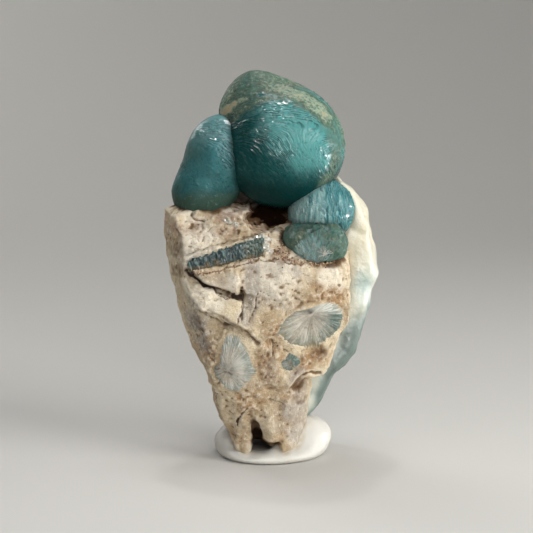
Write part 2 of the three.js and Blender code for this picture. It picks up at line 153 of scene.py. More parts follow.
# Lines on the rock's front as x and z: half the width, the depth and how dark the line is
# How dark a line is stands for dirt and painted shade in the cracks, and painted shadow under the
# overhanging lip
CREASES = [
    ([(-7.5, 17.8), (-6.5, 17.1), (-5.97, 16.6), (-5.3, 16.45)], 0.2, 0.5, 1.0),
    ([(-5.6, 16.5), (-5.0, 16.3), (-4.8, 15.9), (-3.96, 15.5), (-3.3, 15.55)], 0.09, 0.2, 0.75),
    ([(-3.3, 16.0), (-3.25, 15.6), (-2.8, 15.45)], 0.1, 0.3, 0.8),
    ([(-2.6, 16.6), (-2.58, 15.5)], 0.13, 0.5, 1.0),
    ([(-2.55, 15.6), (-2.5, 15.07), (-2.62, 14.26), (-2.8, 13.9), (-2.85, 13.4)], 0.045, 0.2, 1.0),
    ([(-1.0, 16.2), (-1.15, 15.6), (-1.3, 15.07), (-1.42, 14.53), (-1.6, 13.9)], 0.04, 0.15, 0.8),
    (
        [(-5.6, 14.3), (-4.6, 14.0), (-3.96, 13.34), (-2.82, 12.7), (-1.94, 12.1), (-1.24, 11.5)],
        0.26, 0.16, 0.35,
    ),
    ([(-0.9, 16.1), (0.08, 15.75)], 0.12, 0.06, 0.3),
    ([(4.83, 16.1), (6.42, 15.51), (6.87, 14.43)], 0.14, 0.05, 0.25),
    ([(1.5, 6.9), (2.39, 8.0), (3.3, 8.7), (4.43, 8.5)], 0.25, 0.22, 0.3),
    ([(-7.16, 22.38), (-6.64, 22.02), (-6.02, 21.84)], 0.13, 0.25, 0.6),
    ([(-5.57, 10.29), (-5.04, 9.66), (-4.51, 9.11)], 0.12, 0.12, 0.35),
    ([(-2.2, 5.4), (-2.5, 4.9), (-2.85, 4.4)], 0.05, 0.15, 0.7),
    ([(-2.88, 4.35), (-3.05, 3.5)], 0.08, 0.25, 0.95),
    (
        [(-7.46, 18.05), (-6.76, 17.55), (-4.83, 17.85), (-2.81, 18.4), (-0.79, 18.85), (0.35, 18.67)],
        0.1, 0.15, 0.4,
    ),
    (
        [(0.3, 19.5), (1.31, 18.62), (2.54, 18.5), (4.12, 18.44), (5.7, 18.79), (6.57, 19.51)],
        0.13, 0.15, 0.45,
    ),
    ([(0.15, 11.6), (0.1, 10.9), (0.15, 10.3)], 0.03, 0.1, 0.95),
    ([(0.15, 11.3), (0.55, 11.4), (0.5, 10.9)], 0.025, 0.08, 0.8),
    ([(1.1, 10.9), (1.5, 10.6), (1.9, 10.75)], 0.04, 0.1, 0.7),
]
# Soft folds on the stem as x and z: half the width and the depth
FOLDS = [
    ([(1.2, 6.4), (0.95, 5.0), (1.0, 3.4), (1.3, 2.0)], 0.8, 0.22),
    ([(-2.2, 5.0), (-2.1, 4.0), (-1.6, 3.2)], 0.6, 0.35),
    ([(-4.1, 5.6), (-3.9, 4.0), (-3.4, 2.6)], 0.5, 0.2),
    ([(3.0, 8.0), (2.8, 7.0), (2.4, 5.8)], 0.6, 0.2),
]
SLATE = [(-6.8, 15.2), (-6.4, 13.4), (-6.0, 11.6), (-5.8, 10.8)]
# The soft band along the slab's lower edge, painted dark as shade
FURROW = [(-4.3, 13.9), (-2.8, 12.85), (-1.9, 12.2), (-0.9, 11.5)]
GREY_BAND = [(-1.67, 18.4), (-1.58, 17.1), (-1.58, 15.35), (-2.2, 13.7)]
SLAB_RIM = [(-7.64, 16.8), (-7.21, 15.81), (-6.43, 14.65), (-5.64, 14.2)]

# Places on the rock's front as x and z, with a radius: where it is stained or bleached
RUSTY = [
    (0.9, 19.3, 0.9), (2.3, 18.7, 0.5), (4.2, 18.6, 0.7), (4.0, 15.8, 0.9), (5.6, 15.4, 1.1),
    (-0.3, 9.9, 1.4), (4.2, 10.3, 1.0), (3.0, 9.6, 1.3), (-1.9, 6.2, 1.4), (-5.4, 10.0, 1.1),
    (0.4, 11.1, 0.8), (0.3, 12.6, 1.0), (-0.2, 8.2, 1.0),
]
SMOOTH_PLACES = [(-5.2, 15.2, 1.9), (-2.2, 14.4, 1.2), (-1.5, 17.0, 1.2), (2.4, 4.6, 2.0), (1.9, 8.3, 1.1)]
# Lilac grey patches; those below the notch and high on the left side are painted shade
LILAC = [
    (-7.2, 19.0, 1.3), (-6.8, 13.0, 1.2), (-6.0, 11.0, 0.8), (2.7, 2.8, 1.3), (2.5, 6.6, 1.1),
    (2.2, 17.7, 0.5), (-4.3, 16.9, 0.5), (2.2, 8.4, 1.0), (2.2, 4.8, 1.7),
]
PALE_PLACES = [
    (-5.5, 12.3, 0.7), (-7.2, 21.9, 1.0), (-3.2, 16.9, 0.9), (2.0, 2.6, 1.1), (-5.6, 15.4, 1.6),
    (0.4, 17.8, 3.0), (-6.4, 20.6, 1.8), (5.4, 17.2, 1.4), (1.9, 5.0, 0.9),
]
# Places in the rock: the middle, and the reach along x, y and z
# The cavity is sunk in and painted dark as shade, and the arch is painted dark as shade
CAVITY = ((-0.1, -0.8, 22.45), (2.3, 2.8, 1.45))  # the dark hollow on the ledge under the big globe
HOLE = ((-2.83, -3.2, 21.1), (1, 1.6, 1))  # a small deep hole in the ledge
ARCH = ((-0.3, -2.6, 2.5), (2.2, 1.5, 1.2))  # the dark space between the feet
BUTTRESS = ((-0.1, 3.6), (1.0, 2.2))  # the swelling over that space, as x and z only
# Hollows filled and folds smoothed away, which the specimen shows less than the solids
FILLED = [
    ((-1.9, -4.95, 15.2), (0.65, 0.75, 0.6)), ((-0.95, -4.5, 7.3), (0.6, 0.7, 0.55)),
    ((-2.15, -5.0, 12.0), (0.5, 0.65, 0.45)),
]
EVEN_PLACES = [
    (0.0, 6.9, 1.5), (1.3, 6.7, 1.0), (-0.9, 7.5, 1.3), (0.1, 11.1, 0.8), (-1.8, 15.3, 0.6),
    (-2.3, 12.1, 0.6), (-3.2, 12.4, 0.9), (-4.8, 12.0, 0.6),
]
# Stains and painted shadows as x, z, radius and how dark; those under the lip, on the left side,
# under the notch, over the arch and in the small hole are painted shade
STAINS_AND_SHADOWS = [
    (-4.9, 16.3, 0.55, 0.45), (-4.0, 15.9, 0.5, 0.45), (-6.45, 13.3, 0.5, 0.5), (-6.2, 12.4, 0.45, 0.6),
    (-5.9, 11.6, 0.35, 0.45), (1.5, 10.7, 0.35, 0.6), (0.4, 11.2, 0.5, 0.35), (4.4, 10.4, 0.6, 0.5),
    (3.9, 10.7, 0.4, 0.35), (2.8, 7.3, 0.9, 0.3), (-6.9, 17.7, 0.45, 0.9), (0.3, 19.3, 0.4, 0.6),
    (1.37, 3.75, 0.22, 0.6), (-1.5, 3.9, 0.8, 0.5), (-2.2, 3.0, 0.5, 0.4), (-5.6, 11.0, 0.5, 0.3),
    (-3.9, 21.2, 0.35, 0.45), (-5.7, 22.0, 0.3, 0.45), (-1.0, 12.7, 0.4, 0.3), (-8.5, 19.6, 1.1, 0.4),
    (-8.4, 17.6, 1.0, 0.45), (-7.6, 14.0, 0.7, 0.35), (2.5, 7.4, 0.9, 0.65), (2.6, 6.0, 1.0, 0.5),
    (4.5, 10.5, 1.0, 0.7), (-0.5, 9.5, 0.9, 0.4), (-0.3, 11.9, 0.8, 0.3), (-0.6, 10.3, 1.0, 0.4),
    (-2.83, 21.1, 0.2, 1.0), (0.9, 19.2, 0.8, 0.4), (2.3, 18.6, 0.5, 0.35), (4.2, 18.5, 0.6, 0.45),
    (2.9, 6.4, 0.8, 0.25), (-3.4, 2.6, 1.2, 0.2),
]

# Loose grains as a line of x and z points, how far they stray, and how many
SAND = [
    ([(-7.3, 17.8), (-6.2, 17.6), (-4.8, 17.75), (-2.7, 18.5), (-0.9, 18.9)], 0.13, 120),
    ([(0.2, 19.3), (0.9, 19.4), (1.4, 19.1), (0.6, 20.4)], 0.35, 150),
    ([(1.4, 18.75), (2.6, 18.6), (4.1, 18.4), (5.4, 18.6)], 0.14, 120),
]
CRYSTALS = [
    ([(-1.9, 20.3), (-1.3, 20.75), (-0.7, 20.9), (-0.15, 20.6)], 0.08, 90),
    ([(-0.6, 20.5), (-0.35, 19.7)], 0.16, 80),
    ([(-4.0, 22.3), (-3.55, 22.2), (-3.1, 21.95)], 0.12, 24),
]
# How small and how large each kind of grain is, as a radius
SAND_SIZES = (0.03, 0.1)
CRYSTAL_SIZES = (0.06, 0.2)
# Needles on the half globe: how many lie broken at its foot, and the pale spray's middle as x and z,
# with the number of its needles, the first one's lean and the turn from one to the next
SHARD_COUNT = 130
PALE_SPRAY = {"at": (4.7, 19.3), "count": 13, "lean": -1.4, "turn": 0.24, "thick": 0.028}
FRONT = -5.0  # the depth at which the lines of x and z points above lie
SEAM_ENDS = ((-7.4, 18.55), (-0.7, 20.0))  # the ends of the seam's middle line as x and z
SPUR_DROP = 1.2  # how much further the crust's lowest spur reaches down than the solid does

# Where the camera stands and what it looks at, in millimetres
CAMERA_DISTANCE = 200.0
CAMERA_ELEVATION = math.radians(10)
CAMERA_TARGET = Vector((-0.4, 0.0, 17.35))
CAMERA_LENS = 150.0

# Lights: name, the setting with the power, where it stands, and its width, in millimetres
LIGHTS = [
    ("key", "key", (150, -95, 85), 100),
    ("front", "fill", (25, -170, 115), 90),
    ("side", "rim", (120, 20, 14), 14),
    ("top", "top", (5, 15, 150), 60),
    ("back", "back", (-170, 230, 150), 140),
]
GLINTS = [((-100, -105, 90), 10), ((0, -150, 22), 8), ((95, 20, 8), 4), ((-5, 50, 170), 10)]
LIGHTS_AIM = Vector((0, 0, 18))

# The floor: half its width, how far behind the object it starts to curve up, and the curve's radius
FLOOR_REACH = 500
SWEEP_START = 120
SWEEP_RADIUS = 160

# Refraction of the minerals, and how a value is eased from one range to another
WAVELLITE_IOR = 1.535
QUARTZ_IOR = 1.54
EASED = {"interpolation_type": "SMOOTHSTEP"}


def colour(code):
    """The linear colour of an sRGB hex value"""
    parts = [int(code[i : i + 2], 16) / 255 for i in (1, 3, 5)]
    return tuple(c / 12.92 if c <= 0.04045 else ((c + 0.055) / 1.055) ** 2.4 for c in parts)


def tint(name, description, code):
    """A colour that a user can change"""
    return FloatVectorProperty(
        name=name, description=description, subtype="COLOR", size=3, min=0, max=1, default=colour(code)
    )


def length(name, description, millimetres):
    """A size that a user can change"""
    return FloatProperty(
        name=name, description=description, unit="LENGTH", precision=6, min=0, default=millimetres * MM
    )


def power(name, description, watts):
    """A light's power that a user can change"""
    return FloatProperty(name=name, description=description, subtype="POWER", precision=5, default=watts)


def smoothstep(low, high, value):
    """0 below low, 1 above high, and a smooth rise between them; high may be the smaller one"""
    share = np.clip((value - low) / (high - low), 0, 1)
    return share * share * (3 - 2 * share)


def hashed(cell, seed):
    """Three repeatable numbers from 0 to 1 for each cell of a whole-number grid"""
    x, y, z = (cell[:, k].astype(np.int64).astype(np.uint32) for k in range(3))
    mixed = x * np.uint32(374761393) + y * np.uint32(668265263) + z * np.uint32(2246822519)
    mixed = mixed + np.uint32(seed * 7919)
    numbers = []
    for _ in range(3):
        mixed = (mixed ^ (mixed >> np.uint32(15))) * np.uint32(2654435761)
        mixed = (mixed ^ (mixed >> np.uint32(13))) * np.uint32(3266489917)
        numbers.append((mixed ^ (mixed >> np.uint32(16))) / 2**32)
    return np.stack(numbers, 1)


def grain(points, size, seed):
    """Smooth noise from -1 to 1 with features about `size` across"""
    scaled = points / size
    low = np.floor(scaled)
    share = scaled - low
    share = share * share * (3 - 2 * share)
    total = np.zeros(len(points))
    for corner in itertools.product((0, 1), repeat=3):
        weight = np.prod(np.where(corner, share, 1 - share), axis=1)
        total += weight * hashed(low + corner, seed)[:, 0]
    return 2 * total - 1


def wander(points, size, seed):
    """A smooth random push for each point, from -1 to 1 along each axis"""
    return np.stack([grain(points, size, seed + k) for k in range(3)], 1)


def cells(points, size, seed):
    """Broken cells: how far the nearest and next kernel are, the way to the nearest, and its numbers"""
    scaled = points / size
    low = np.floor(scaled)
    near = np.full(len(points), 9.0)
    after = near.copy()
    way = np.zeros_like(scaled)
    home = np.zeros_like(scaled)
    for step in itertools.product((-1, 0, 1), repeat=3):
        cell = low + step
        toward = cell + hashed(cell, seed) - scaled
        apart = (toward**2).sum(1)
        closer = apart < near
        after = np.where(closer, near, np.minimum(after, apart))
        near = np.where(closer, apart, near)
        way[closer] = toward[closer]
        home[closer] = cell[closer]
    return np.sqrt(near), np.sqrt(after), way, hashed(home, seed + 1)


def facets(points, size, seed, step=0.25):
    """A surface broken into tilted chips: from about -0.3 to 0.3, with a step from chip to chip"""
    near, after, way, mark = cells(points, size, seed)
    inside = smoothstep(0.0, 0.3, after - near)
    return ((way * (mark - 0.5)).sum(1) + step * (mark[:, 0] - 0.5)) * (0.35 + 0.65 * inside)


def points_of(mesh):
    """The places of a mesh's vertices"""
    flat = np.empty(len(mesh.vertices) * 3, np.float32)
    mesh.vertices.foreach_get("co", flat)
    return flat.reshape(-1, 3).astype(float)


def set_points(mesh, points):
    """Moves a mesh's vertices"""
    mesh.vertices.foreach_set("co", points.astype(np.float32).ravel())
    mesh.update()


def normals_of(mesh):
    """The way out of the surface at a mesh's vertices"""
    flat = np.empty(len(mesh.vertices) * 3, np.float32)
    mesh.vertex_normals.foreach_get("vector", flat)
    return flat.reshape(-1, 3).astype(float)


def edges_of(mesh):
    """The two vertices of each of a mesh's edges"""
    flat = np.empty(len(mesh.edges) * 2, np.int32)
    mesh.edges.foreach_get("vertices", flat)
    return flat.reshape(-1, 2)


def relax(values, edges, turns, share=0.5):
    """Values at the vertices, blurred along the edges"""
    count = len(values)
    a, b = edges[:, 0], edges[:, 1]
    degree = np.maximum(np.bincount(a, minlength=count) + np.bincount(b, minlength=count), 1)
    blurred = values.reshape(count, -1).copy()
    for _ in range(turns):
        for k in range(blurred.shape[1]):
            column = blurred[:, k]
            total = np.bincount(a, column[b], count) + np.bincount(b, column[a], count)
            blurred[:, k] += share * (total / degree - column)
    return blurred.reshape(values.shape)


def hollowness(points, normals, edges, turns):
    """How far each point lies below its surroundings, which reach further the more turns there are"""
    return ((relax(points, edges, turns) - points) * normals).sum(1)


def away(points, place):
    """How far points are from a place's middle, as shares of its reach"""
    middle, reach = place
    return np.linalg.norm((points - middle) / reach, axis=1)


def give(mesh, name, values):
    """A number for each vertex, for the material to read"""
    made = mesh.attributes.new(name, "FLOAT", "POINT")
    made.data.foreach_set("value", values.astype(np.float32))


def give_place(mesh, name, places):
    """A position for each vertex, for a pattern that follows the surface"""
    made = mesh.attributes.new(name, "FLOAT_VECTOR", "POINT")
    made.data.foreach_set("vector", places.astype(np.float32).ravel())


def cad_copy(name):
    """A CAD node as a bmesh in millimetres, its loose triangles merged"""
    shape = bmesh.new()
    shape.from_mesh(NODES[name].data)
    bmesh.ops.remove_doubles(shape, verts=shape.verts, dist=0.001 * MM)
    bmesh.ops.scale(shape, vec=(PER_MM,) * 3, verts=shape.verts)
    return shape


def mesh_of(shape, name="part"):
    """A bmesh turned into a mesh"""
    made = bpy.data.meshes.new(name)
    shape.to_mesh(made)
    shape.free()
    return made


def join(shape, other):
    """Adds one bmesh to another"""
    shape.from_mesh(mesh_of(other))


def skin_over(shape, voxel):
    """One even closed skin round everything in a bmesh"""
    rough = bpy.data.objects.new("rough", mesh_of(shape))
    bpy.context.scene.collection.objects.link(rough)
    skin = rough.modifiers.new("skin", "REMESH")
    skin.mode = "VOXEL"
    skin.voxel_size = voxel
    seen = rough.evaluated_get(bpy.context.evaluated_depsgraph_get())
    made = bpy.data.meshes.new_from_object(seen)
    bpy.data.objects.remove(rough)
    return made


def blob_mask(points, places, rough=0.35, seed=5):
    """1 inside soft-edged places given as x, z and radius on the front, 0 elsewhere"""
    worn = points + rough * wander(points, 0.9, seed)
    mask = np.zeros(len(points))
    for x, z, radius in places:
        apart = np.hypot(worn[:, 0] - x, worn[:, 2] - z) / radius
        mask = np.maximum(mask, smoothstep(1.25, 0.5, apart))
    return mask * smoothstep(1.0, -2.0, points[:, 1])


def line_gap(points, path):
    """How far each point is from a line of points, or seen from the front where they are only x and z"""
    path = np.array(path)
    flat = points if path.shape[1] == 3 else points[:, [0, 2]]
    best = np.full(len(points), 99.0)
    for start, end in itertools.pairwise(path):
        run = end - start
        share = np.clip(((flat - start) @ run) / (run @ run), 0, 1)
        best = np.minimum(best, np.linalg.norm(flat - start - share[:, None] * run, axis=1))
    return best


def fan_frame(fan):
    """A fan's place and turn: its face looks along its own -Y"""
    turn = Matrix.Rotation(fan["tilt"][1], 4, "Z") @ Matrix.Rotation(fan["tilt"][0], 4, "X")
    return Matrix.Translation(fan["at"]) @ turn


def fan_reach(fan, turn):
    """How far a fan reaches at a share of the way round"""
    table = np.array(fan["reach"] + fan["reach"][:1])
    return np.interp(turn % 1, np.linspace(0, 1, len(table)), table)


def fan_local(points, fan):
    """Points in a fan's own frame, and how far each is outside the fan's rim"""
    to_fan = np.array(fan_frame(fan).inverted())
    local = points @ to_fan[:3, :3].T + to_fan[:3, 3]
    turn = np.arctan2(local[:, 2], local[:, 0]) / (2 * math.pi)
    return local, np.hypot(local[:, 0], local[:, 2]) - fan_reach(fan, turn)


def bowl(local):
    """The terms of a gently curved face over a fan's x and z"""
    x, z = local[:, 0], local[:, 2]
    return np.stack([np.ones_like(x), x, z, x * x, x * z, z * z], 1)


def fan_face(points, normals, fan):
    """The gently curved face that fits the rock round a fan's rim"""
    local, gap = fan_local(points, fan)
    facing = -normals @ np.array(fan_frame(fan).to_3x3())[:, 1]
    ring = (gap > 0.05) & (gap < 0.9) & (np.abs(local[:, 1]) < 1.2) & (facing > 0.75)
    return np.linalg.lstsq(bowl(local[ring]), local[ring, 1], rcond=None)[0]


def fan_gap(points):
    """How far each point is outside the nearest fan's rim"""
    best = np.full(len(points), 99.0)
    for fan in FANS.values():
        local, gap = fan_local(points, fan)
        best = np.where(np.abs(local[:, 1]) < 2.5, np.minimum(best, gap), best)
    return best


def nearest_ball(points, names=tuple(BALLS)):
    """How far each point is outside the nearest globe, and the way out from it"""
    best = np.full(len(points), 99.0)
    out = np.zeros_like(points)
    for at, radius, stretch in (ball for name in names for ball in BALLS[name]):
        local = (points - at) / stretch
        reach = np.linalg.norm(local, axis=1)
        apart = reach - radius
        closer = apart < best
        best = np.where(closer, apart, best)
        out[closer] = (local / np.maximum(reach, 1e-6)[:, None])[closer]
    return best, out


def close_gap(points, tree, depth, near, far):
    """Draws points that are near a neighbour's surface onto it, `depth` below its skin"""
    low, high = np.array(tree["low"]) - far, np.array(tree["high"]) + far
    close = np.nonzero(((points > low) & (points < high)).all(1))[0]
    for i in close:
        place, normal, _, _ = tree["tree"].find_nearest(Vector(points[i]), far)
        if place is None:
            continue
        gap = (Vector(points[i]) - place).dot(normal)
        if gap < -depth:
            continue
        weight = float(smoothstep(far, near, np.array(abs(gap))))
        target = np.array(place) - depth * np.array(normal)
        points[i] += weight * (target - points[i])
    return points


def neighbour(name):
    """A CAD node as something to measure to"""
    shape = cad_copy(name)
    bmesh.ops.recalc_face_normals(shape, faces=shape.faces)
    tree = BVHTree.FromBMesh(shape)
    place = np.array([v.co for v in shape.verts])
    shape.free()
    return {"tree": tree, "low": place.min(0), "high": place.max(0)}


def finish_piece(mesh, name, material, slot, *nodes):
    """A piece in metres at the origin that stands for its CAD nodes"""
    mesh.transform(Matrix.Scale(MM, 4))
    mesh.materials.clear()
    mesh.materials.append(material)
    mesh.shade_smooth()
    made = bpy.data.objects.new(name, mesh)
    bpy.context.scene.collection.objects.link(made)
    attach(made, "root")
    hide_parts(*nodes)
    return made


def feed(tree, node, inputs):
    """Sets a node's inputs, and links those whose value comes from another node"""
    for name, value in inputs.items():
        socket = node.inputs[name]
        if isinstance(value, bpy.types.NodeSocket):
            tree.links.new(value, socket)
        elif socket.type == "RGBA":
            socket.default_value = (*value, 1.0)
        else:
            socket.default_value = value


def add(tree, kind, inputs=None, output=0, **settings):
    """A shader node with its settings, values and links: gives the output that is asked for"""
    made = tree.nodes.new("ShaderNode" + kind)
    for name, value in settings.items():
        setattr(made, name, value)
    feed(tree, made, inputs or {})
    return made.outputs[output]


def layers(tree, base, *steps):
    """Colours laid over a base in turn. Each step is a share and a colour, or a value, the two ends of
    the range over which it brings the colour in, the most of the colour, and the colour."""
    for share, *limits, over in steps:
        if limits:
            low, high, most = limits
            share = add(tree, "MapRange", {0: share, 1: low, 2: high, 3: 0, 4: most}, **EASED)
        base = add(tree, "Mix", {0: share, 6: base, 7: over}, 2, data_type="RGBA")
    return base


def numbers_of(tree, names):
    """The numbers that the mesh gives its points, by their names"""
    return [add(tree, "Attribute", output="Fac", attribute_name=name) for name in names.split()]


def start_material(name):
    """A material, its Principled shader and the place on the piece in millimetres, so that a pattern's
    scale is 1 over its real size"""
    made = bpy.data.materials.new(name)
    made.use_nodes = True
    tree = made.node_tree
    shader = next(n for n in tree.nodes if n.type == "BSDF_PRINCIPLED")
    place = add(tree, "TexCoord", output="Object")
    return made, tree, shader, add(tree, "Mapping", {"Vector": place, "Scale": (PER_MM,) * 3})


def sight(place):
    """The camera's place and its line of sight through a place"""
    back = Vector((0, -math.cos(CAMERA_ELEVATION), math.sin(CAMERA_ELEVATION)))
    eye = CAMERA_TARGET + CAMERA_DISTANCE * back
    return eye, (Vector(place) - eye).normalized()


def bvh_of(name):
    """A finished piece as something to seat small pieces on, in millimetres"""
    shape = bmesh.new()
    shape.from_mesh(bpy.data.objects[name].data)
    bmesh.ops.scale(shape, vec=(PER_MM,) * 3, verts=shape.verts)
    tree = BVHTree.FromBMesh(shape)
    shape.free()
    return tree


def rock_material(look):
    """Fine-grained siliceous rock, broken and weathered: matt, sandy to the touch and stained by iron"""
    made, tree, shader, place = start_material("weathered_host_rock")
    hollow, pit, dark, pale = numbers_of(tree, "hollow pit dark pale")
    rust, rose, lilac, slate = numbers_of(tree, "rust rose lilac slate")
    drift = add(tree, "TexNoise", {"Vector": place, "Scale": 1 / 3.2, "Detail": 5, "Roughness": 0.55})
    # Grains of 0.2 to 0.5 mm show in the picture; the real ones are finer
    speck = add(tree, "TexNoise", {"Vector": place, "Scale": 1 / 0.3, "Detail": 6, "Roughness": 0.75})
    mottle = add(tree, "TexNoise", {"Vector": place, "Scale": 1 / 0.9, "Detail": 5, "Roughness": 0.6})
    grit = add(tree, "TexNoise", {"Vector": place, "Scale": 1 / 0.13, "Detail": 3, "Roughness": 0.55})
    stone = layers(tree, look.cream, (drift, 0.36, 0.64, 0.7, look.tan), (pale, look.bleached))
    for stain, veil, low, high, least, most, over in (
        (rust, mottle, 0.3, 0.6, 0.25, 1, look.rust),
        (rose, mottle, 0.35, 0.6, 0.3, 1, look.rose),
        (lilac, mottle, 0.25, 0.5, 0.5, 0.9, look.lilac),
        (slate, speck, 0.38, 0.55, 0, 1, look.slate),
    ):
        veil = add(tree, "MapRange", {0: veil, 1: low, 2: high, 3: least, 4: most}, **EASED)
        share = add(tree, "Math", {0: stain, 1: veil}, operation="MULTIPLY")
        stone = layers(tree, stone, (share, over))
    stone = layers(
        tree,
        stone,
        (speck, 0.52, 0.66, 0.6, look.tan),
        (speck, 0.46, 0.34, 0.55, look.bleached),
        # Dirt and painted shade in hollows and small pits, and paler small rises
        (hollow, 0.15, 0.7, 0.5, look.tan),
        (hollow, 0.6, 1.2, 0.6, look.dirt),
        (pit, 0.15, 0.9, 0.75, look.dirt),
        (pit, -0.15, -0.8, 0.4, look.bleached),
        # Dirt, and painted shade and shadow, where the mesh paints the rock dark
        (dark, 0.08, 0.6, 0.9, look.dirt),
        (dark, 0.55, 0.95, 1, look.crack),
    )
    fine = add(tree, "Math", {0: speck, 1: grit}, operation="ADD")
    feed(tree, shader, {
        "Base Color": stone,
        "Roughness": add(tree, "MapRange", {0: mottle, 1: 0.3, 2: 0.7, 3: 0.75, 4: 0.95}, **EASED),
        "Specular IOR Level": add(tree, "MapRange", {0: dark, 1: 0.2, 2: 0.9, 3: 0.2, 4: 0}, **EASED),
        "IOR": QUARTZ_IOR,
        "Subsurface Weight": 0.08,
        "Subsurface Radius": (1.0, 0.7, 0.45),
        "Subsurface Scale": 0.35 * MM,
        "Normal": add(tree, "Bump", {"Height": fine, "Distance": 0.12 * MM, "Strength": 1}),
    })
    return made


def scale_pattern(tree, scales):
    """A globe's scales: each one's tone, the waves of the rings that they lie in, and each one's slope"""
    # Each scale is a flat needle end, 0.2 to 0.5 mm across, that leans its own way
    chips = add(tree, "TexVoronoi", {"Vector": scales, "Scale": 1.25, "Randomness": 1}).node.outputs
    tone = add(tree, "SeparateXYZ", {"Vector": chips["Color"]}, "X")
    ring = add(tree, "SeparateXYZ", {"Vector": scales}, "Z")
    ring = add(tree, "Math", {0: ring, 1: 2 * math.pi}, operation="MULTIPLY")
    wave = add(tree, "Math", {0: ring}, operation="SINE")
    worn = add(tree, "TexNoise", {"Vector": scales, "Scale": 1 / 1.1, "Detail": 2, "Roughness": 0.55})
    worn = add(tree, "MapRange", {0: worn, 1: 0.32, 2: 0.55}, **EASED)
    wave = add(tree, "Math", {0: wave, 1: worn}, operation="MULTIPLY")
    off = add(tree, "VectorMath", {0: scales, 1: chips["Position"]}, operation="SUBTRACT")
    lean = add(tree, "VectorMath", {0: chips["Color"], 1: (0.5, 0.5, 0.5)}, operation="SUBTRACT")
    slope = add(tree, "VectorMath", {0: off, 1: lean}, "Value", operation="DOT_PRODUCT")
    return tone, wave, slope


def globe_material(look, name, bright):
    """Wavellite globe: radiating needles that end in a scaly, glassy skin, translucent near the surface,
    with a thin matt coat of pale weathered mineral where the mesh says so, and painted light and shade:
    a painted glow, painted highlights and painted shade where the mesh says so"""
    made, tree, shader, place = start_material(name)
    scales = add(tree, "Attribute", output="Vector", attribute_name="scales")
    coat, lively, glow, frost, shade = numbers_of(tree, "coat lively glow frost shade")
    drift = add(tree, "TexNoise", {"Vector": place, "Scale": 1 / 1.7, "Detail": 4, "Roughness": 0.55})
    speck = add(tree, "TexNoise", {"Vector": place, "Scale": 1 / 0.3, "Detail": 5, "Roughness": 0.65})
    # Painted light: the lighter teal comes in where the mesh paints a glow from inside
    glow = add(tree, "Math", {0: drift, 1: 0.5, 2: glow}, operation="MULTIPLY_ADD")
    skin = layers(tree, look.deep, (glow, 0.25, 1.15, 1, bright))
    tone, wave, slope = scale_pattern(tree, scales)
    # Fully where the scales stand out, and not at all where the skin is smooth
    crisp = add(tree, "MapRange", {0: lively, 1: 0.3, 2: 0.7}, **EASED)
    # Light flecks for each scale's own tone, and painted shade along the creases of the rings where the
    # scales stand out
    for value, low, high, most, where, over in (
        (tone, 0.6, 1.0, 0.3, lively, look.light),
        (wave, 0.1, 0.9, 0.65, crisp, look.dark),
    ):
        share = add(tree, "MapRange", {0: value, 1: low, 2: high, 4: most}, **EASED)
        share = add(tree, "Math", {0: share, 1: where}, operation="MULTIPLY")
        skin = layers(tree, skin, (share, over))
    # The coat is green where it is thin, and tan where it is thick
    ragged = add(tree, "Math", {0: speck, 1: -0.5}, operation="ADD")
    thick = add(tree, "Math", {0: ragged, 1: 2, 2: coat}, operation="MULTIPLY_ADD")
    veil = add(tree, "MapRange", {0: coat, 1: 0.05, 2: 0.65, 4: 0.95}, **EASED)
    skin = layers(
        tree,
        skin,
        (speck, 0.47, 0.32, 0.4, look.dark),
        (speck, 0.56, 0.75, 0.15, look.light),
        # Painted highlights, and the half globe's paler broken skin
        (frost, look.light),
        # Painted shade at the feet, at the joins and on the big globe's lower left
        (shade, look.dark),
        (veil, look.coat_green),
        (thick, 0.5, 1.25, 0.8, look.coat),
        (thick, 1.0, 1.5, 0.85, look.coat_tan),
    )
    dull = add(tree, "MapRange", {0: lively, 1: 0.2, 2: 0.6, 3: 0.35, 4: 0.05}, **EASED)
    dull = add(tree, "Math", {0: veil, 1: dull}, operation="MAXIMUM")
    ends = add(tree, "TexVoronoi", {"Vector": scales, "Scale": 1.9, "Randomness": 1})
    fine = add(tree, "Math", {0: ends, 1: -0.8, 2: speck}, operation="MULTIPLY_ADD")
    calm = add(tree, "MapRange", {0: lively, 1: 0.2, 2: 0.8, 3: 0.5, 4: 0.15}, **EASED)
    smooth = add(tree, "Bump", {"Height": fine, "Distance": 0.01 * MM, "Strength": calm})
    raised = add(tree, "Math", {0: wave, 1: -0.018, 2: slope}, operation="MULTIPLY_ADD")
    relief = {"Height": raised, "Distance": look.tilt, "Strength": crisp, "Normal": smooth}
    shine = add(tree, "MapRange", {0: lively, 1: 0.15, 2: 0.7, 3: 0.04, 4: 0.18}, **EASED)
    feed(tree, shader, {
        "Base Color": skin,
        "Roughness": add(tree, "MapRange", {0: dull, 1: 0, 2: 0.9, 3: 0.06, 4: 0.55}, **EASED),
        "Specular IOR Level": shine,
        "IOR": WAVELLITE_IOR,
        "Subsurface Weight": 0.8,
        "Subsurface Radius": (0.3, 1.0, 0.95),
        "Subsurface Scale": 1.2 * MM,
        "Normal": add(tree, "Bump", relief),
    })
    return made


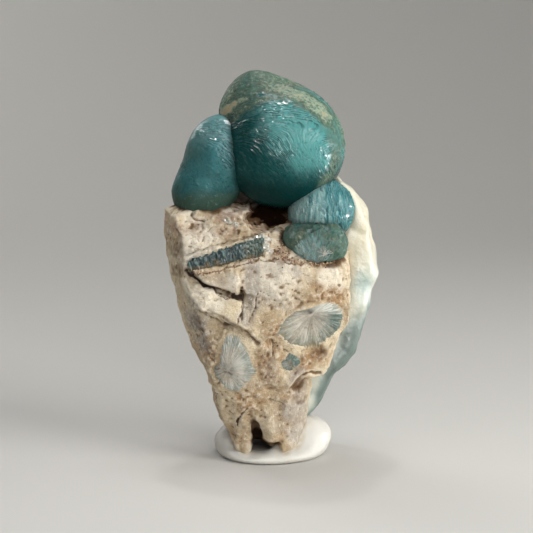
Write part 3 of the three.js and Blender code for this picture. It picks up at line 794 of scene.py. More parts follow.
def fan_material(look, name, inner, outer, teal_side):
    """Radiating wavellite needles broken across: silky, whitish at the centre and teal at the rim"""
    made, tree, shader, place = start_material(name)
    fibre, teal, white, stain = numbers_of(tree, "fibre teal white stain")
    flat = add(tree, "TexCoord", output="UV")
    out = add(tree, "SeparateXYZ", {"Vector": flat}, "Y")
    # Needles are about 0.1 mm thick, so about a hundred stand round a centre
    streak = add(tree, "Mapping", {"Vector": flat, "Scale": (130.0, 2.2, 1.0)})
    streak = add(tree, "TexNoise", {"Vector": streak, "Scale": 1, "Detail": 4})
    bundle = add(tree, "Mapping", {"Vector": flat, "Scale": (34.0, 1.5, 1.0)})
    bundle = add(tree, "TexNoise", {"Vector": bundle, "Scale": 1, "Detail": 3})
    speck = add(tree, "TexNoise", {"Vector": place, "Scale": 1 / 0.22, "Detail": 4, "Roughness": 0.7})
    grit = add(tree, "TexNoise", {"Vector": place, "Scale": 1 / 0.2, "Detail": 4, "Roughness": 0.55})
    cloud = add(tree, "TexNoise", {"Vector": place, "Scale": 1 / 0.8, "Detail": 4, "Roughness": 0.55})
    ragged = add(tree, "TexNoise", {"Vector": place, "Scale": 1 / 0.45, "Detail": 5, "Roughness": 0.65})
    rim = add(tree, "Math", {0: ragged, 1: 0.5, 2: out}, operation="MULTIPLY_ADD")
    body = layers(
        tree,
        inner,
        (out, 0.35, 0.95, 1, outer),
        (teal, teal_side),
        (bundle, 0.52, 0.4, 0.25, look.between),
        (fibre, 0.6, 1.0, 0.2, look.silk),
        (fibre, 0.5, 0.0, 0.25, look.between),
        (streak, 0.54, 0.68, 0.35, look.silk),
        (streak, 0.47, 0.34, 0.35, look.between),
        (speck, 0.46, 0.34, 0.5, look.between),
        (speck, 0.56, 0.68, 0.4, look.silk),
        (white, look.silk),
        (rim, 1.02, 1.25, 0.85, look.dust),
        (cloud, 0.52, 0.72, 0.45, look.dust),
        (stain, look.dirt),
    )
    fine = add(tree, "Math", {0: streak, 1: grit}, operation="MULTIPLY")
    feed(tree, shader, {
        "Base Color": body,
        "Roughness": add(tree, "MapRange", {0: streak, 1: 0.3, 2: 0.7, 3: 0.8, 4: 0.45}, **EASED),
        "IOR": WAVELLITE_IOR,
        "Specular IOR Level": 0.3,
        "Subsurface Weight": 0.15,
        "Subsurface Radius": (0.7, 1.0, 0.95),
        "Subsurface Scale": 0.5 * MM,
        "Normal": add(tree, "Bump", {"Height": fine, "Distance": 0.07 * MM, "Strength": 1}),
    })
    return made


def crust_material(look):
    """Botryoidal wavellite crust: waxy, pale blue to cream, with a thin tan bloom in its hollows,
    and painted shade in grey green low down
    """
    made, tree, shader, place = start_material("pale_botryoidal_crust")
    hollow, cream, low = numbers_of(tree, "hollow cream low")
    speck = add(tree, "TexNoise", {"Vector": place, "Scale": 1 / 0.35, "Detail": 5, "Roughness": 0.6})
    drift = add(tree, "TexNoise", {"Vector": place, "Scale": 1 / 2.2, "Detail": 4, "Roughness": 0.55})
    body = layers(
        tree,
        look.pale,
        (drift, 0.4, 0.62, 1, look.blue),
        (cream, look.cream),
        (speck, 0.55, 0.75, 0.35, look.cream),
        (low, look.low),
        (hollow, 0.3, 1.0, 0.55, look.tan),
    )
    ends = add(tree, "TexVoronoi", {"Vector": place, "Scale": 4.5})
    fine = add(tree, "Math", {0: ends, 1: -0.7, 2: speck}, operation="MULTIPLY_ADD")
    feed(tree, shader, {
        "Base Color": body,
        "Roughness": add(tree, "MapRange", {0: speck, 1: 0.3, 2: 0.7, 3: 0.36, 4: 0.6}, **EASED),
        "IOR": WAVELLITE_IOR,
        "Subsurface Weight": 0.4,
        "Subsurface Radius": (0.8, 1.0, 1.0),
        "Subsurface Scale": 0.8 * MM,
        "Normal": add(tree, "Bump", {"Height": fine, "Distance": 0.04 * MM, "Strength": 0.7}),
    })
    return made


def putty_material(look):
    """Mineral-mounting putty, pressed by hand: warm white, soft sheen, faint smudges, with painted shade
    in the hollow between the feet and on its left side
    """
    made, tree, shader, place = start_material("white_mounting_putty")
    dust, dirt = numbers_of(tree, "dust dirt")
    smudge = add(tree, "TexNoise", {"Vector": place, "Scale": 1 / 1.6, "Detail": 5, "Roughness": 0.6})
    prints = add(tree, "TexNoise", {"Vector": place, "Scale": 1 / 0.5, "Detail": 5, "Roughness": 0.6})
    feed(tree, shader, {
        # The last layer is painted shade: the rock's shadow between the feet and shade on the left
        "Base Color": layers(
            tree, look.white, (smudge, 0.5, 0.75, 0.5, look.smudge), (dust, look.dust), (dirt, look.dirt)
        ),
        "Roughness": add(tree, "MapRange", {0: smudge, 1: 0.3, 2: 0.7, 3: 0.42, 4: 0.6}, **EASED),
        "Subsurface Weight": 0.3,
        "Subsurface Radius": (1.0, 0.9, 0.75),
        "Subsurface Scale": 0.9 * MM,
        "Normal": add(tree, "Bump", {"Height": prints, "Distance": 0.05 * MM, "Strength": 0.6}),
    })
    return made


def crystal_material(name, body_colour, clear, rough, depth_colour=None):
    """Small glassy crystals: smooth faces, a little clear"""
    made, tree, shader, place = start_material(name)
    speck = add(tree, "TexNoise", {"Vector": place, "Scale": 1 / 0.25, "Detail": 3, "Roughness": 0.55})
    fine = add(tree, "TexNoise", {"Vector": place, "Scale": 1 / 0.1, "Detail": 2, "Roughness": 0.55})
    feed(tree, shader, {
        "Base Color": layers(tree, body_colour, (speck, 0.35, 0.7, 1, depth_colour or body_colour)),
        "Roughness": rough,
        "IOR": WAVELLITE_IOR,
        "Transmission Weight": clear,
        "Normal": add(tree, "Bump", {"Height": fine, "Distance": 0.01 * MM, "Strength": 0.5}),
    })
    return made


class WavelliteRock(bpy.types.PropertyGroup):
    grid: length("Grid", "Spacing of the rock's mesh", 0.122)
    chip: length("Chip depth", "How deep the coarse broken chips are", 0.4)
    cream: tint("Cream", "The rock's main colour", "#d4c4a6")
    tan: tint("Tan", "Where the rock is weathered", "#a48a66")
    bleached: tint("Bleached", "Fresh chips and edges", "#e6ddca")
    lilac: tint("Lilac grey", "Dense grey patches", "#948d86")
    rust: tint("Rust", "Iron stain", "#906a40")
    rose: tint("Rose", "Sugary pinkish brown rock on the ledge", "#a1846f")
    # Dirt, and painted shade in hollows, pits, creases and the cavity
    dirt: tint("Dirt", "Brown dirt in hollows", "#62482f")
    slate: tint("Slate", "Blue grey specks on the left flank", "#55545c")
    # Also the painted shade deep in the cavity, the small hole and the cores of the cracks
    crack: tint("Cracks", "Dark dirt in cracks and pits", "#1c110b")


class WavelliteGlobes(bpy.types.PropertyGroup):
    crease: length("Crease depth", "How deep the creases between scales are", 0.03)
    tilt: length("Scale tilt", "How far each scale leans its own way", 0.19)
    deep: tint("Deep teal", "The globes' darker teal", "#154847")
    # The lighter teal that the painted glow brings in; blue and green do the same for the other globes
    bright: tint("Bright teal", "The globes' lighter teal", "#518a88")
    blue: tint("Blue teal", "The bluer teal of the side globes", "#52888d")
    green: tint("Green teal", "The greyer teal of the broken globe", "#667c72")
    # Also the painted highlights on the left globe's top and the right globe's left
    light: tint("Light teal", "Light flecks and frosted skin", "#86a5a2")
    # Also painted shade: at a globe's foot, where globes meet, and along the creases of the scale rings
    dark: tint("Shaded teal", "The dark foot of a globe", "#082b2a")
    coat_green: tint("Green coat", "A thin weathered coat over the teal", "#455748")
    coat: tint("Coat", "Pale weathered coat", "#95a18c")
    coat_tan: tint("Tan coat", "Where the coat is thickest", "#a09070")


class WavelliteSeam(bpy.types.PropertyGroup):
    grid: length("Grid", "Spacing of the seam's mesh", 0.06)
    blade: length("Blade width", "Width of one upright blade", 0.14)
    teal: tint("Teal", "The blades", "#1b3435")
    dark: tint("Dark", "The granular end of the seam", "#3a4536")
    tip: tint("Tip", "Pale tips of the blades", "#4f6864")
    dirt: tint("Dirt", "Rock dust along the foot", "#6b5a40")


class WavelliteGrains(bpy.types.PropertyGroup):
    seed: IntProperty(name="Seed", description="Changes where the grains lie", default=7)
    rust: tint("Rust", "Red brown grains", "#785033")
    cream: tint("Cream", "Cream grains", "#b69c79")
    dark: tint("Dark", "Dark grains", "#3a281b")
    white: tint("White", "Clear white crystals", "#dbd1c4")
    grey: tint("Grey", "Grey green crystals", "#9aa394")
    shard: tint("Shards", "Broken teal needles", "#92b3ae")


class WavelliteFans(bpy.types.PropertyGroup):
    ridge: length("Ridge height", "How far the needles stand out", 0.06)
    inner: tint("Centre", "Near the centre of a fan", "#c8c0b1")
    outer: tint("Rim", "Near the rim of a fan", "#8c8e7c")
    grey: tint("Grey rim", "Near the rim of the left fan", "#9fa59c")
    # Also painted shade at the left fan's upper right
    teal: tint("Teal", "The teal part of a fan", "#485f56")
    # Also the painted glints on the left fan
    silk: tint("Silk", "Bright needles", "#d0d1c8")
    between: tint("Between", "Between the needles", "#666a5e")
    dust: tint("Dust", "Rock dust on a fan", "#b09a78")
    dirt: tint("Dirt", "Brown crack across a fan", "#5f4a33")


class WavelliteCrust(bpy.types.PropertyGroup):
    grid: length("Grid", "Spacing of the crust's mesh", 0.15)
    lump: length("Lump size", "Width of the crust's lumps", 2.1)
    pale: tint("Pale", "The crust's main colour", "#bac2b8")
    blue: tint("Blue", "Where it is bluer", "#86a3a2")
    cream: tint("Cream", "Where it is creamy", "#d3c9b0")
    # Painted shade low on the crust, in grey green
    low: tint("Foot", "Grey green near the foot", "#627068")
    tan: tint("Tan", "Bloom in the hollows", "#97835f")


class WavellitePutty(bpy.types.PropertyGroup):
    grid: length("Grid", "Spacing of the putty's mesh", 0.16)
    white: tint("White", "The putty's colour", "#c9c6bd")
    smudge: tint("Smudge", "Finger smudges", "#bdb9ae")
    dust: tint("Dust", "Rock dust round the feet", "#b5a27f")
    # Painted shade: the rock's shadow in the hollow between the feet, and shade on the dab's left
    dirt: tint("Dirt", "Dirt pressed into the hollow between the feet", "#4a4238")


class WavelliteStage(bpy.types.PropertyGroup):
    key: power("Key light", "Power of the main light", 0.345)
    fill: power("Front light", "Power of the light beside the camera", 0.17)
    rim: power("Side light", "Power of the light at the right", 0.03)
    top: power("Top light", "Power of the light overhead", 0.06)
    back: power("Back light", "Power of the light behind, at the left", 0.3)
    spark: power("Small lights", "Power of the lights that glint, for each square millimetre", 0.0035)
    floor: tint("Floor", "The plain pale floor", "#c4c1bb")


class WAVELLITE_OT_rock(bpy.types.Operator):
    """Build the broken host rock"""

    bl_idname = "wavellite.rock"
    bl_label = "Host rock"

    def execute(self, context):
        look = context.scene.wavellite_rock
        shape = cad_copy("matrix")
        for name, fan in FANS.items():
            self.fill_pocket(shape, name, Vector(fan.get("pocket", fan["at"])), (1.16, 1.0, 1.16), 0.3)
        self.fill_pocket(shape, "ledge_vein", Vector((-4.0, -4.6, 19.25)), (1.1, 1.0, 1.25), 0.35)
        for at, radii in FILLED:
            place = Matrix.Translation(at) @ Matrix.Diagonal((*radii, 1))
            bmesh.ops.create_icosphere(shape, subdivisions=3, radius=1, matrix=place)
        mesh = skin_over(shape, look.grid * PER_MM)
        edges = edges_of(mesh)
        points = relax(points_of(mesh), edges, 3)
        even = blob_mask(points, EVEN_PLACES, 0.2, 12)
        set_points(mesh, points + even[:, None] * (relax(points, edges, 150) - points))
        ring = smoothstep(0.9, 0.2, np.abs(fan_gap(points_of(mesh))))
        points = points_of(mesh)
        set_points(mesh, points + ring[:, None] * (relax(points, edges, 50) - points))
        points = self.under_fans(points_of(mesh), normals_of(mesh))
        set_points(mesh, points)
        points = self.broken(points, normals_of(mesh), look.chip * PER_MM)
        points = self.seated(points)
        points = relax(points, edges, 1, 0.2)
        set_points(mesh, points)
        self.mark(mesh, points, edges)
        finish_piece(mesh, "host_rock", rock_material(look), "host_rock", "matrix")
        return {"FINISHED"}

    def fill_pocket(self, shape, name, centre, scale, inward):
        """Fills what a pocket leaves open round the piece that sits in it"""
        filler = cad_copy(name)
        space = Matrix.Translation(-centre)
        bmesh.ops.scale(filler, vec=scale, space=space, verts=filler.verts)
        bmesh.ops.translate(filler, vec=(0, inward, 0), verts=filler.verts)
        join(shape, filler)

    def broken(self, points, normals, chip):
        """The rock's faces broken into chips, with creases, grain and pits"""
        bent = points + 0.5 * wander(points, 1.8, 21)
        up = smoothstep(0.3, 0.8, normals[:, 2]) * smoothstep(19.5, 21.0, points[:, 2])
        sandy = smoothstep(-0.2, 0.5, grain(points, 2.2, 24))
        sandy = np.maximum(blob_mask(points, RUSTY, 0.5, 23), sandy)
        sandy *= 1 - 0.85 * blob_mask(points, SMOOTH_PLACES, 0.4, 26)
        sandy = np.maximum(sandy, up)
        gap = fan_gap(points + 0.1 * wander(points, 0.4, 28))
        clear = 0.1 + 0.9 * smoothstep(-0.5, -0.1, gap)
        push = 0.9 * chip * facets(bent, 2.9, 31, 0.08) * smoothstep(-0.4, 1.4, gap)
        push += 0.4 * chip * facets(bent, 1.15, 37, 0.15) * smoothstep(-0.3, 0.6, gap)
        push += clear * 0.3 * chip * facets(points + 0.15 * wander(points, 0.4, 25), 0.5, 41)
        lively = clear * (0.35 + 0.9 * sandy)
        push += lively * (0.08 * grain(points, 0.5, 47) + 0.06 * grain(points, 0.27, 48))
        push += clear * (0.09 * grain(points, 1.1, 49) + 0.05 * grain(points, 0.7, 50))
        push += up * (0.11 * grain(points, 0.7, 51) + 0.09 * grain(points, 0.3, 52))
        near, _, _, mark = cells(points + 0.3 * wander(points, 0.35, 60), 0.7, 61)
        pitted = (mark[:, 1] < 0.05 + 0.18 * sandy) * smoothstep(5.5, 8.5, points[:, 2])
        push -= 0.11 * lively * smoothstep(0.4, 0.1, near) * pitted
        push -= 0.25 * smoothstep(0.25, 0.1, away(points, HOLE))
        sunken = 0.3 + 0.3 * grain(points, 0.55, 58) + 0.12 * grain(points, 0.25, 59)
        push -= sunken * self.cavity(points)
        swell = smoothstep(1.1, 0.2, away(points[:, [0, 2]], BUTTRESS))
        push += 0.45 * swell * smoothstep(0.0, -1.5, points[:, 1])
        front = smoothstep(-0.5, -2.0, points[:, 1])
        for path, width, depth, _ in CREASES:
            push -= depth * front * smoothstep(0.1, 0.7, gap) * self.crease(points, path, width)
        for path, width, depth in FOLDS:
            push -= depth * front * smoothstep(1.2, 0.0, line_gap(bent, path) / width)
        rim = line_gap(points + 0.15 * wander(points, 0.5, 64), SLAB_RIM)
        push += 0.1 * front * smoothstep(0.4, 0.1, rim)
        return points + normals * push[:, None]

    def crease(self, points, path, width):
        """1 along a line that swells, thins and strays"""
        worn = points + 0.12 * wander(points, 0.55, 63) + 0.05 * wander(points, 0.22, 66)
        swell = 0.5 + 0.8 * smoothstep(-0.6, 0.6, grain(points, 0.8, 69))
        return smoothstep(1.0, 0.25, line_gap(worn, path) / (1.3 * width * swell))

    def cavity(self, points):
        """The dark hollow on the ledge under the big globe"""
        worn = points + 0.6 * wander(points, 0.9, 54) + 0.35 * wander(points, 0.35, 57)
        return smoothstep(1.3, 0.45, away(worn, CAVITY)) ** 1.5

    def under_fans(self, points, normals):
        """The rock kept under each fan's face"""
        for fan in FANS.values():
            face = fan_face(points, normals, fan)
            local, gap = fan_local(points, fan)
            target = bowl(local) @ face + 0.3 * smoothstep(-0.25, -0.6, gap)
            weight = smoothstep(0.5, 0.0, gap) * smoothstep(1.9, 0.9, np.abs(local[:, 1]))
            local[:, 1] += weight * (target - local[:, 1])
            back = np.array(fan_frame(fan))
            points = local @ back[:3, :3].T + back[:3, 3]
        return points

    def seated(self, points):
        """The rock drawn up against what sits in it, so that no gap shows"""
        apart, out = nearest_ball(points)
        weight = smoothstep(1.0, 0.4, apart) * (apart > -0.12)
        points = points - out * (weight * (apart + 0.12))[:, None]
        for name in ("back_crust", "putty"):
            points = close_gap(points, neighbour(name), depth=0.06, near=0.38, far=0.75)
        return points

    def mark(self, mesh, points, edges):
        """Where the rock is stained, bleached, dense or dirty, and where shade is painted on it"""
        normals = normals_of(mesh)
        # Painted shade and dirt in hollows and small pits, from how far the surface lies below its
        # surroundings
        hollow = hollowness(points, normals, edges, 20)
        wide = hollowness(points, normals, edges, 80)
        shade = np.clip(hollow / 0.12, -1, 1) + 0.5 * np.clip(wide / 0.35, -0.6, 1)
        give(mesh, "hollow", np.clip(relax(shade, edges, 1), -1, 1.4))
        give(mesh, "pit", np.clip(hollowness(points, normals, edges, 4) / 0.035, -1, 1.2))
        height = points[:, 2]
        front = smoothstep(-0.5, -2.0, points[:, 1])
        wide_rust = 0.5 * smoothstep(0.1, 0.6, grain(points, 2.4, 71)) * smoothstep(17.0, 12.0, height)
        give(mesh, "rust", np.maximum(0.8 * blob_mask(points, RUSTY, 0.5), wide_rust))
        ledge = smoothstep(20.3, 21.3, height + 0.4 * grain(points, 0.9, 73))
        give(mesh, "rose", 0.85 * ledge * smoothstep(-0.5, 0.3, grain(points, 1.1, 74)))
        band = line_gap(points + 0.15 * wander(points, 0.7, 75), GREY_BAND)
        dense = 0.4 * smoothstep(0.25, 0.6, grain(points, 1.9, 77))
        dense = np.maximum(dense, 0.8 * smoothstep(0.85, 0.5, band) * front)
        give(mesh, "lilac", np.maximum(0.7 * blob_mask(points, LILAC), dense))
        rim = smoothstep(0.5, 0.15, line_gap(points, SLAB_RIM)) * front
        give(mesh, "pale", np.maximum(0.8 * blob_mask(points, PALE_PLACES, 0.6, 9), 0.8 * rim))
        streak = line_gap(points + 0.5 * wander(points, 0.7, 76), SLATE) + 0.5 * grain(points, 0.5, 88)
        give(mesh, "slate", 0.5 * smoothstep(0.8, 0.1, streak) * smoothstep(0.5, -1.0, points[:, 1]))
        give(mesh, "dark", self.dark(points, front))

    def dark(self, points, front):
        """How dark the rock is painted: dirt, and painted shade in creases and hollows, under overhangs,
        low on the stem, in the arch between the feet and against the globes' feet
        """
        # Painted shade in the cavity under the big globe, and darker towards the bottom of the stem as
        # painted shade
        found = (1.15 + 0.35 * grain(points, 0.4, 79)) * self.cavity(points)
        found = np.maximum(found, 0.2 * smoothstep(8.0, 3.0, points[:, 2]))
        # Dirt and painted shade in the cracks, with a soft darker halo round them
        for path, width, _, dirt in CREASES:
            gap = line_gap(points + 0.2 * wander(points, 0.6, 78), path)
            halo = 0.35 * dirt * smoothstep(3.5 * width, 0.3 * width, gap)
            broken = 0.75 + 0.35 * grain(points, 0.3, 81)
            line = dirt * broken * self.crease(points, path, 0.85 * width)
            found = np.maximum(found, front * np.maximum(line, halo))
        worn = points + 0.3 * wander(points, 0.8, 15) + 0.14 * wander(points, 0.3, 18)
        # Stains, and painted shadows under the lip, on the left side, under the notch and over the arch
        for x, z, radius, dirt in STAINS_AND_SHADOWS:
            apart = np.hypot(worn[:, 0] - x, worn[:, 2] - z) / radius
            spotted = dirt * (0.75 + 0.5 * grain(points, 0.35, 82))
            found = np.maximum(found, spotted * smoothstep(1.3, 0.2, apart) * front)
        # Painted shade along the slab's lower edge
        furrow = smoothstep(0.6, 0.1, line_gap(worn, FURROW)) * (0.8 + 0.4 * grain(points, 0.35, 90))
        found = np.maximum(found, 0.38 * furrow * front)
        # Dirt and painted shade against the globes' feet
        foot = nearest_ball(points)[0] + 0.35 * grain(points, 0.5, 80)
        foot = 0.75 * smoothstep(0.7, 0.0, foot) * smoothstep(23.8, 22.8, points[:, 2])
        # Painted shade in the arch between the feet
        arch = away(points, ARCH) + 0.15 * grain(points, 0.5, 83)
        return np.maximum(np.maximum(found, foot), 0.9 * smoothstep(1.15, 0.7, arch))


class WAVELLITE_OT_globes(bpy.types.Operator):
    """Build the teal globes"""

    bl_idname = "wavellite.globes"
    bl_label = "Globes"

    def execute(self, context):
        look = context.scene.wavellite_globes
        teal = globe_material(look, "teal_wavellite_skin", look.bright)
        blue = globe_material(look, "blue_teal_wavellite_skin", look.blue)
        green = globe_material(look, "grey_green_wavellite_skin", look.green)
        skins = {"globe_big": teal, "globe_rear": teal, "globe_half": green}
        for number, (name, balls) in enumerate(BALLS.items()):
            mesh, points, out = self.ball_mesh(balls, SCALES[name]["cuts"])
            if name == "globe_rear":
                # Its balls are so close that their joins would show as edges
                edges = edges_of(mesh)
                points = relax(points, edges, REAR_TURNS)
                out = relax(out, edges, REAR_TURNS)
                out /= np.linalg.norm(out, axis=1)[:, None]
            places, scales, swell = self.scales(points, balls[0], SCALES[name], look, 100 + 10 * number)
            lively = self.lively(name, points)
            coat = self.coat(name, points, out)
            if name == "globe_left":
                points[:, 2] = np.maximum(points[:, 2], LEDGE_SEAT)
            height = scales * lively + swell + self.grown_together(name, points)
            moved = points + out * height[:, None]
            if name == "globe_half":
                floor = HALF_FLOOR + 0.12 * grain(points, 0.4, 171) + 0.1 * np.abs(points[:, 0] - 4.0)
                moved[:, 2] = np.maximum(moved[:, 2], floor)
            set_points(mesh, moved)
            give_place(mesh, "scales", places)
            give(mesh, "coat", coat)
            give(mesh, "lively", lively * (1 - 0.75 * smoothstep(0.25, 0.8, coat)))
            give(mesh, "shade", self.shade(name, points, out))
            give(mesh, "glow", self.glow(name, points, out))
            give(mesh, "frost", self.frost(name, points, out))
            finish_piece(mesh, name, skins.get(name, blue), "wavellite_globe", "globe_cluster")
        return {"FINISHED"}

    def ball_mesh(self, balls, cuts):
        """A closed skin round balls that flow into each other"""
        shape = bmesh.new()
        bmesh.ops.create_icosphere(shape, subdivisions=5, radius=1)
        bmesh.ops.subdivide_edges(shape, edges=shape.edges, cuts=cuts, use_grid_fill=True)
        mesh = mesh_of(shape)
        ways = points_of(mesh)
        ways /= np.linalg.norm(ways, axis=1)[:, None]
        middle = np.average([b[0] for b in balls], axis=0, weights=[b[1] for b in balls])
        reach = np.full(len(ways), balls[0][1])
        blend_width = 0.45
        for _ in range(40):
            points = middle + ways * reach[:, None]
            local = [(points - at) / stretch for at, _, stretch in balls]
            spans = np.stack([np.linalg.norm(p, axis=1) for p in local])
            apart = spans - np.array([b[1] for b in balls])[:, None]
            pull = np.exp(-(apart - apart.min(0)) / blend_width)
            outside = apart.min(0) - blend_width * np.log(pull.sum(0))
            reach = reach - 0.8 * outside
        points = middle + ways * reach[:, None]
        pull /= pull.sum(0)
        out = sum((w / s)[:, None] * p for w, s, p in zip(pull, spans, local))
        return mesh, points, out / np.linalg.norm(out, axis=1)[:, None]

    def scales(self, points, ball, scale, look, seed):
        """The place of each point in the pattern of scales, and how far its scale stands out"""
        at, radius, _ = ball
        pole = Vector(scale["pole"]).normalized()
        side = Vector((1, 0, 0)) if abs(pole.x) < 0.6 else Vector((0, -1, 0))
        first = (side - side.dot(pole) * pole).normalized()
        second = pole.cross(first)
        local = points - at
        span = np.linalg.norm(local, axis=1)
        turn = np.arccos(np.clip(local @ np.array(pole) / span, -1, 1))
        lean = scale["lean"] * smoothstep(1.45, 2.0, turn)
        rough = 0.0
        along = turn * radius - lean * (local @ np.array(first))
        places = np.stack(
            [
                local @ np.array(first) / scale["width"],
                local @ np.array(second) / scale["width"],
                along / scale["step"],
            ],
            1,
        )
        if "spread" in scale:
            # A broken globe shows its needles from the side, spreading from a point at its foot
            local = points - scale["spread"]
            angle = np.arctan2(local[:, 2], local[:, 0])
            across = np.hypot(local[:, 0], local[:, 2])
            places = np.stack([angle * 16, across / 0.7, local[:, 1] / 0.5], 1)
            rough = 0.1 * grain(points, 0.8, seed + 9) + 0.06 * grain(points, 0.35, seed + 10)
        places += 0.5 * wander(points, 0.9, seed) + 0.4 * wander(points, 0.5, seed + 3)
        near, after, way, mark = cells(places, 1.0, seed + 5)
        scales = look.tilt * PER_MM * (way * (mark - 0.5)).sum(1) * (0.3 + 1.7 * mark[:, 1] ** 2)
        crease = smoothstep(0.22, 0.0, after - near)
        scales -= look.crease * PER_MM * crease
        swell = 0.07 * grain(points, 2.3, seed + 7) + 0.03 * grain(points, 0.9, seed + 8) + rough
        return places, scales, swell

    def lively(self, name, points):
        """How far the scales stand out"""
        worn = points + 0.5 * wander(points, 0.9, 86)
        found = 0.22 + 0.12 * grain(points, 1.2, 89)
        if name == "globe_big":
            found += 0.22 * smoothstep(26.0, 29.0, points[:, 2] + 0.5 * points[:, 0])
        for at, radius in LIVELY.get(name, ()):
            apart = np.linalg.norm(worn - at, axis=1) / radius
            found = np.maximum(found, smoothstep(1.5, 0.3, apart))
        return 0.6 * found if name == "globe_half" else found

    def grown_together(self, name, points):
        """The two top globes filled out where they meet, with a low ridge along the left of the join"""
        other = {"globe_big": "globe_rear", "globe_rear": "globe_big"}.get(name)
        if other is None:
            return np.zeros(len(points))
        apart = nearest_ball(points, (other,))[0]
        fillet = 0.42 * np.log1p(np.exp(-np.clip(apart, -0.5, 9) / 0.42))
        ridge = 0.1 * smoothstep(0.55, 0.0, np.abs(apart - 0.25)) * smoothstep(0.6, -0.8, points[:, 0])
        return fillet + ridge * (0.7 + 0.5 * grain(points, 0.6, 95))

    def coat(self, name, points, out):
        """How thick the pale coat is: over the tops and backs, and in the crease of the two top globes"""
        ragged = 0.15 * grain(points, 1.3, 81) + 0.1 * grain(points, 0.45, 82)
        if name == "globe_big":
            over = np.maximum(out @ np.array((0.3, 0.75, 0.6)), out @ np.array((0.8, 0.55, 0.25)))
            cap = (0.7 + 0.3 * grain(points, 2.0, 99)) * smoothstep(0.35, 0.8, over + 0.7 * ragged)
            crease = nearest_ball(points, ("globe_rear",))[0] + 2.0 * ragged
            cap = np.maximum(cap, 0.5 * smoothstep(0.9, 0.0, crease))
            return np.maximum(cap, self.coat_lines(points, ragged))
        if name == "globe_rear":
            side = 0.3 * smoothstep(0.4, 0.9, -out[:, 0]) + 0.25 * smoothstep(-3.0, 2.0, points[:, 0])
            behind = (0.15 + 0.3 * grain(points, 2.0, 99)) * smoothstep(0.2, 0.9, out[:, 1])
            thin = 0.5 + 0.6 * ragged + side + behind
            return np.maximum(thin, self.coat_lines(points, ragged))
        if name == "globe_left":
            back = (0.7 + 0.3 * grain(points, 1.6, 99)) * smoothstep(0.2, 0.8, out[:, 1] + ragged)
            low = 0.4 * smoothstep(25.2, 23.8, points[:, 2] + 2 * ragged)
            left = 0.35 * smoothstep(0.4, 0.9, -out[:, 0] + ragged)
            return np.maximum(back, np.maximum(low, left))
        if name == "globe_right":
            return 0.8 * smoothstep(0.4, 0.8, out[:, 1] + ragged)
        fresh = smoothstep(1.8, 0.8, self.from_fresh(points))
        return (0.4 + 1.8 * ragged + 0.3 * grain(points, 0.3, 87)) * (1 - 0.9 * fresh)

    def from_fresh(self, points):
        """How far points are from the half globe's freshly broken place, seen from the front"""
        return np.hypot(points[:, 0] - HALF_FRESH[0], points[:, 2] - HALF_FRESH[1])

    def coat_lines(self, points, ragged):
        """The coat's thick ridge and its pale speckled band over the two top globes"""
        spotted = 0.12 * grain(points, 0.35, 84) + 0.12 * grain(points, 0.8, 85)
        front = smoothstep(1.0, 0.0, points[:, 1])
        ridge = smoothstep(0.7, 0.0, line_gap(points, TAN_RIDGE) + 2.0 * ragged)
        ridge *= (1.5 + 5 * spotted) * front * smoothstep(-1.3, -2.6, points[:, 0])
        below = (0.5 + 2 * spotted) * smoothstep(1.3, 0.1, line_gap(points, JOIN_COAT) + 2.5 * ragged)
        ridge = np.maximum(ridge, below)
        band = (1.0 + spotted) * smoothstep(2.3, 0.2, line_gap(points, PALE_COAT) + 3.0 * ragged)
        band *= 0.4 + 0.6 * smoothstep(-2.8, 1.2, points[:, 0])
        limb = (0.5 + 1.0 * spotted) * smoothstep(1.9, 0.2, line_gap(points, LIMB_COAT) + 2.5 * ragged)
        return np.maximum(np.maximum(ridge, band), limb)

    def shade(self, name, points, out):
        """Painted shade: where a globe is darker, at its foot, where it meets its neighbour, and on the big
        globe's lower left
        """
        others = tuple(n for n in BALLS if n != name)
        if name in ("globe_big", "globe_rear"):
            others = ("globe_left", "globe_right")
        apart = nearest_ball(points, others)[0]
        meet = (0.35 if name == "globe_right" else 0.7) * smoothstep(0.6, 0.0, apart)
        foot = {"globe_big": 25.6, "globe_left": 23.9, "globe_right": 20.4}.get(name, 10.0)
        low = 0.85 * smoothstep(foot + 1.6, foot - 0.9, points[:, 2] + 0.3 * grain(points, 0.8, 91))
        if name == "globe_big":
            inner = out @ np.array((-0.8, -0.2, -0.55)) + 0.1 * grain(points, 1.6, 93)
            low = np.maximum(low, 0.2 * smoothstep(0.1, 0.8, inner))
        return np.clip(np.maximum(meet, low), 0, 1)

    def glow(self, name, points, out):
        """Painted light: how much brighter a globe is painted, standing in for light that has been inside
        it
        """
        drift = 0.12 * grain(points, 1.5, 96)
        # Painted brighter towards the upper right front on the big globe, towards the top on the rest,
        # evenly on the broken one
        if name == "globe_big":
            return smoothstep(0.3, 0.85, out @ np.array((0.55, -0.55, 0.6)) + drift)
        if name == "globe_half":
            return 0.45 + drift
        return 0.5 + 0.2 * out[:, 2] + drift

    def frost(self, name, points, out):
        """Paler skin: painted highlights on the top of the left globe and in streaks on the left of the
        right one, and the paler freshly broken skin at the half globe's foot
        """
        if name == "globe_left":
            height = points[:, 2] - 0.3 * points[:, 0] + 0.4 * grain(points, 0.5, 97)
            return 0.3 * smoothstep(29.4, 31.5, height)
        if name == "globe_right":
            streaked = 0.9 * grain(points * (4.0, 1.0, 0.6), 0.9, 99)
            return 0.8 * smoothstep(0.5, -0.4, out[:, 0] + streaked)
        if name == "globe_half":
            return smoothstep(1.9, 0.7, self.from_fresh(points) + 0.5 * grain(points, 0.3, 98))
        return np.zeros(len(points))


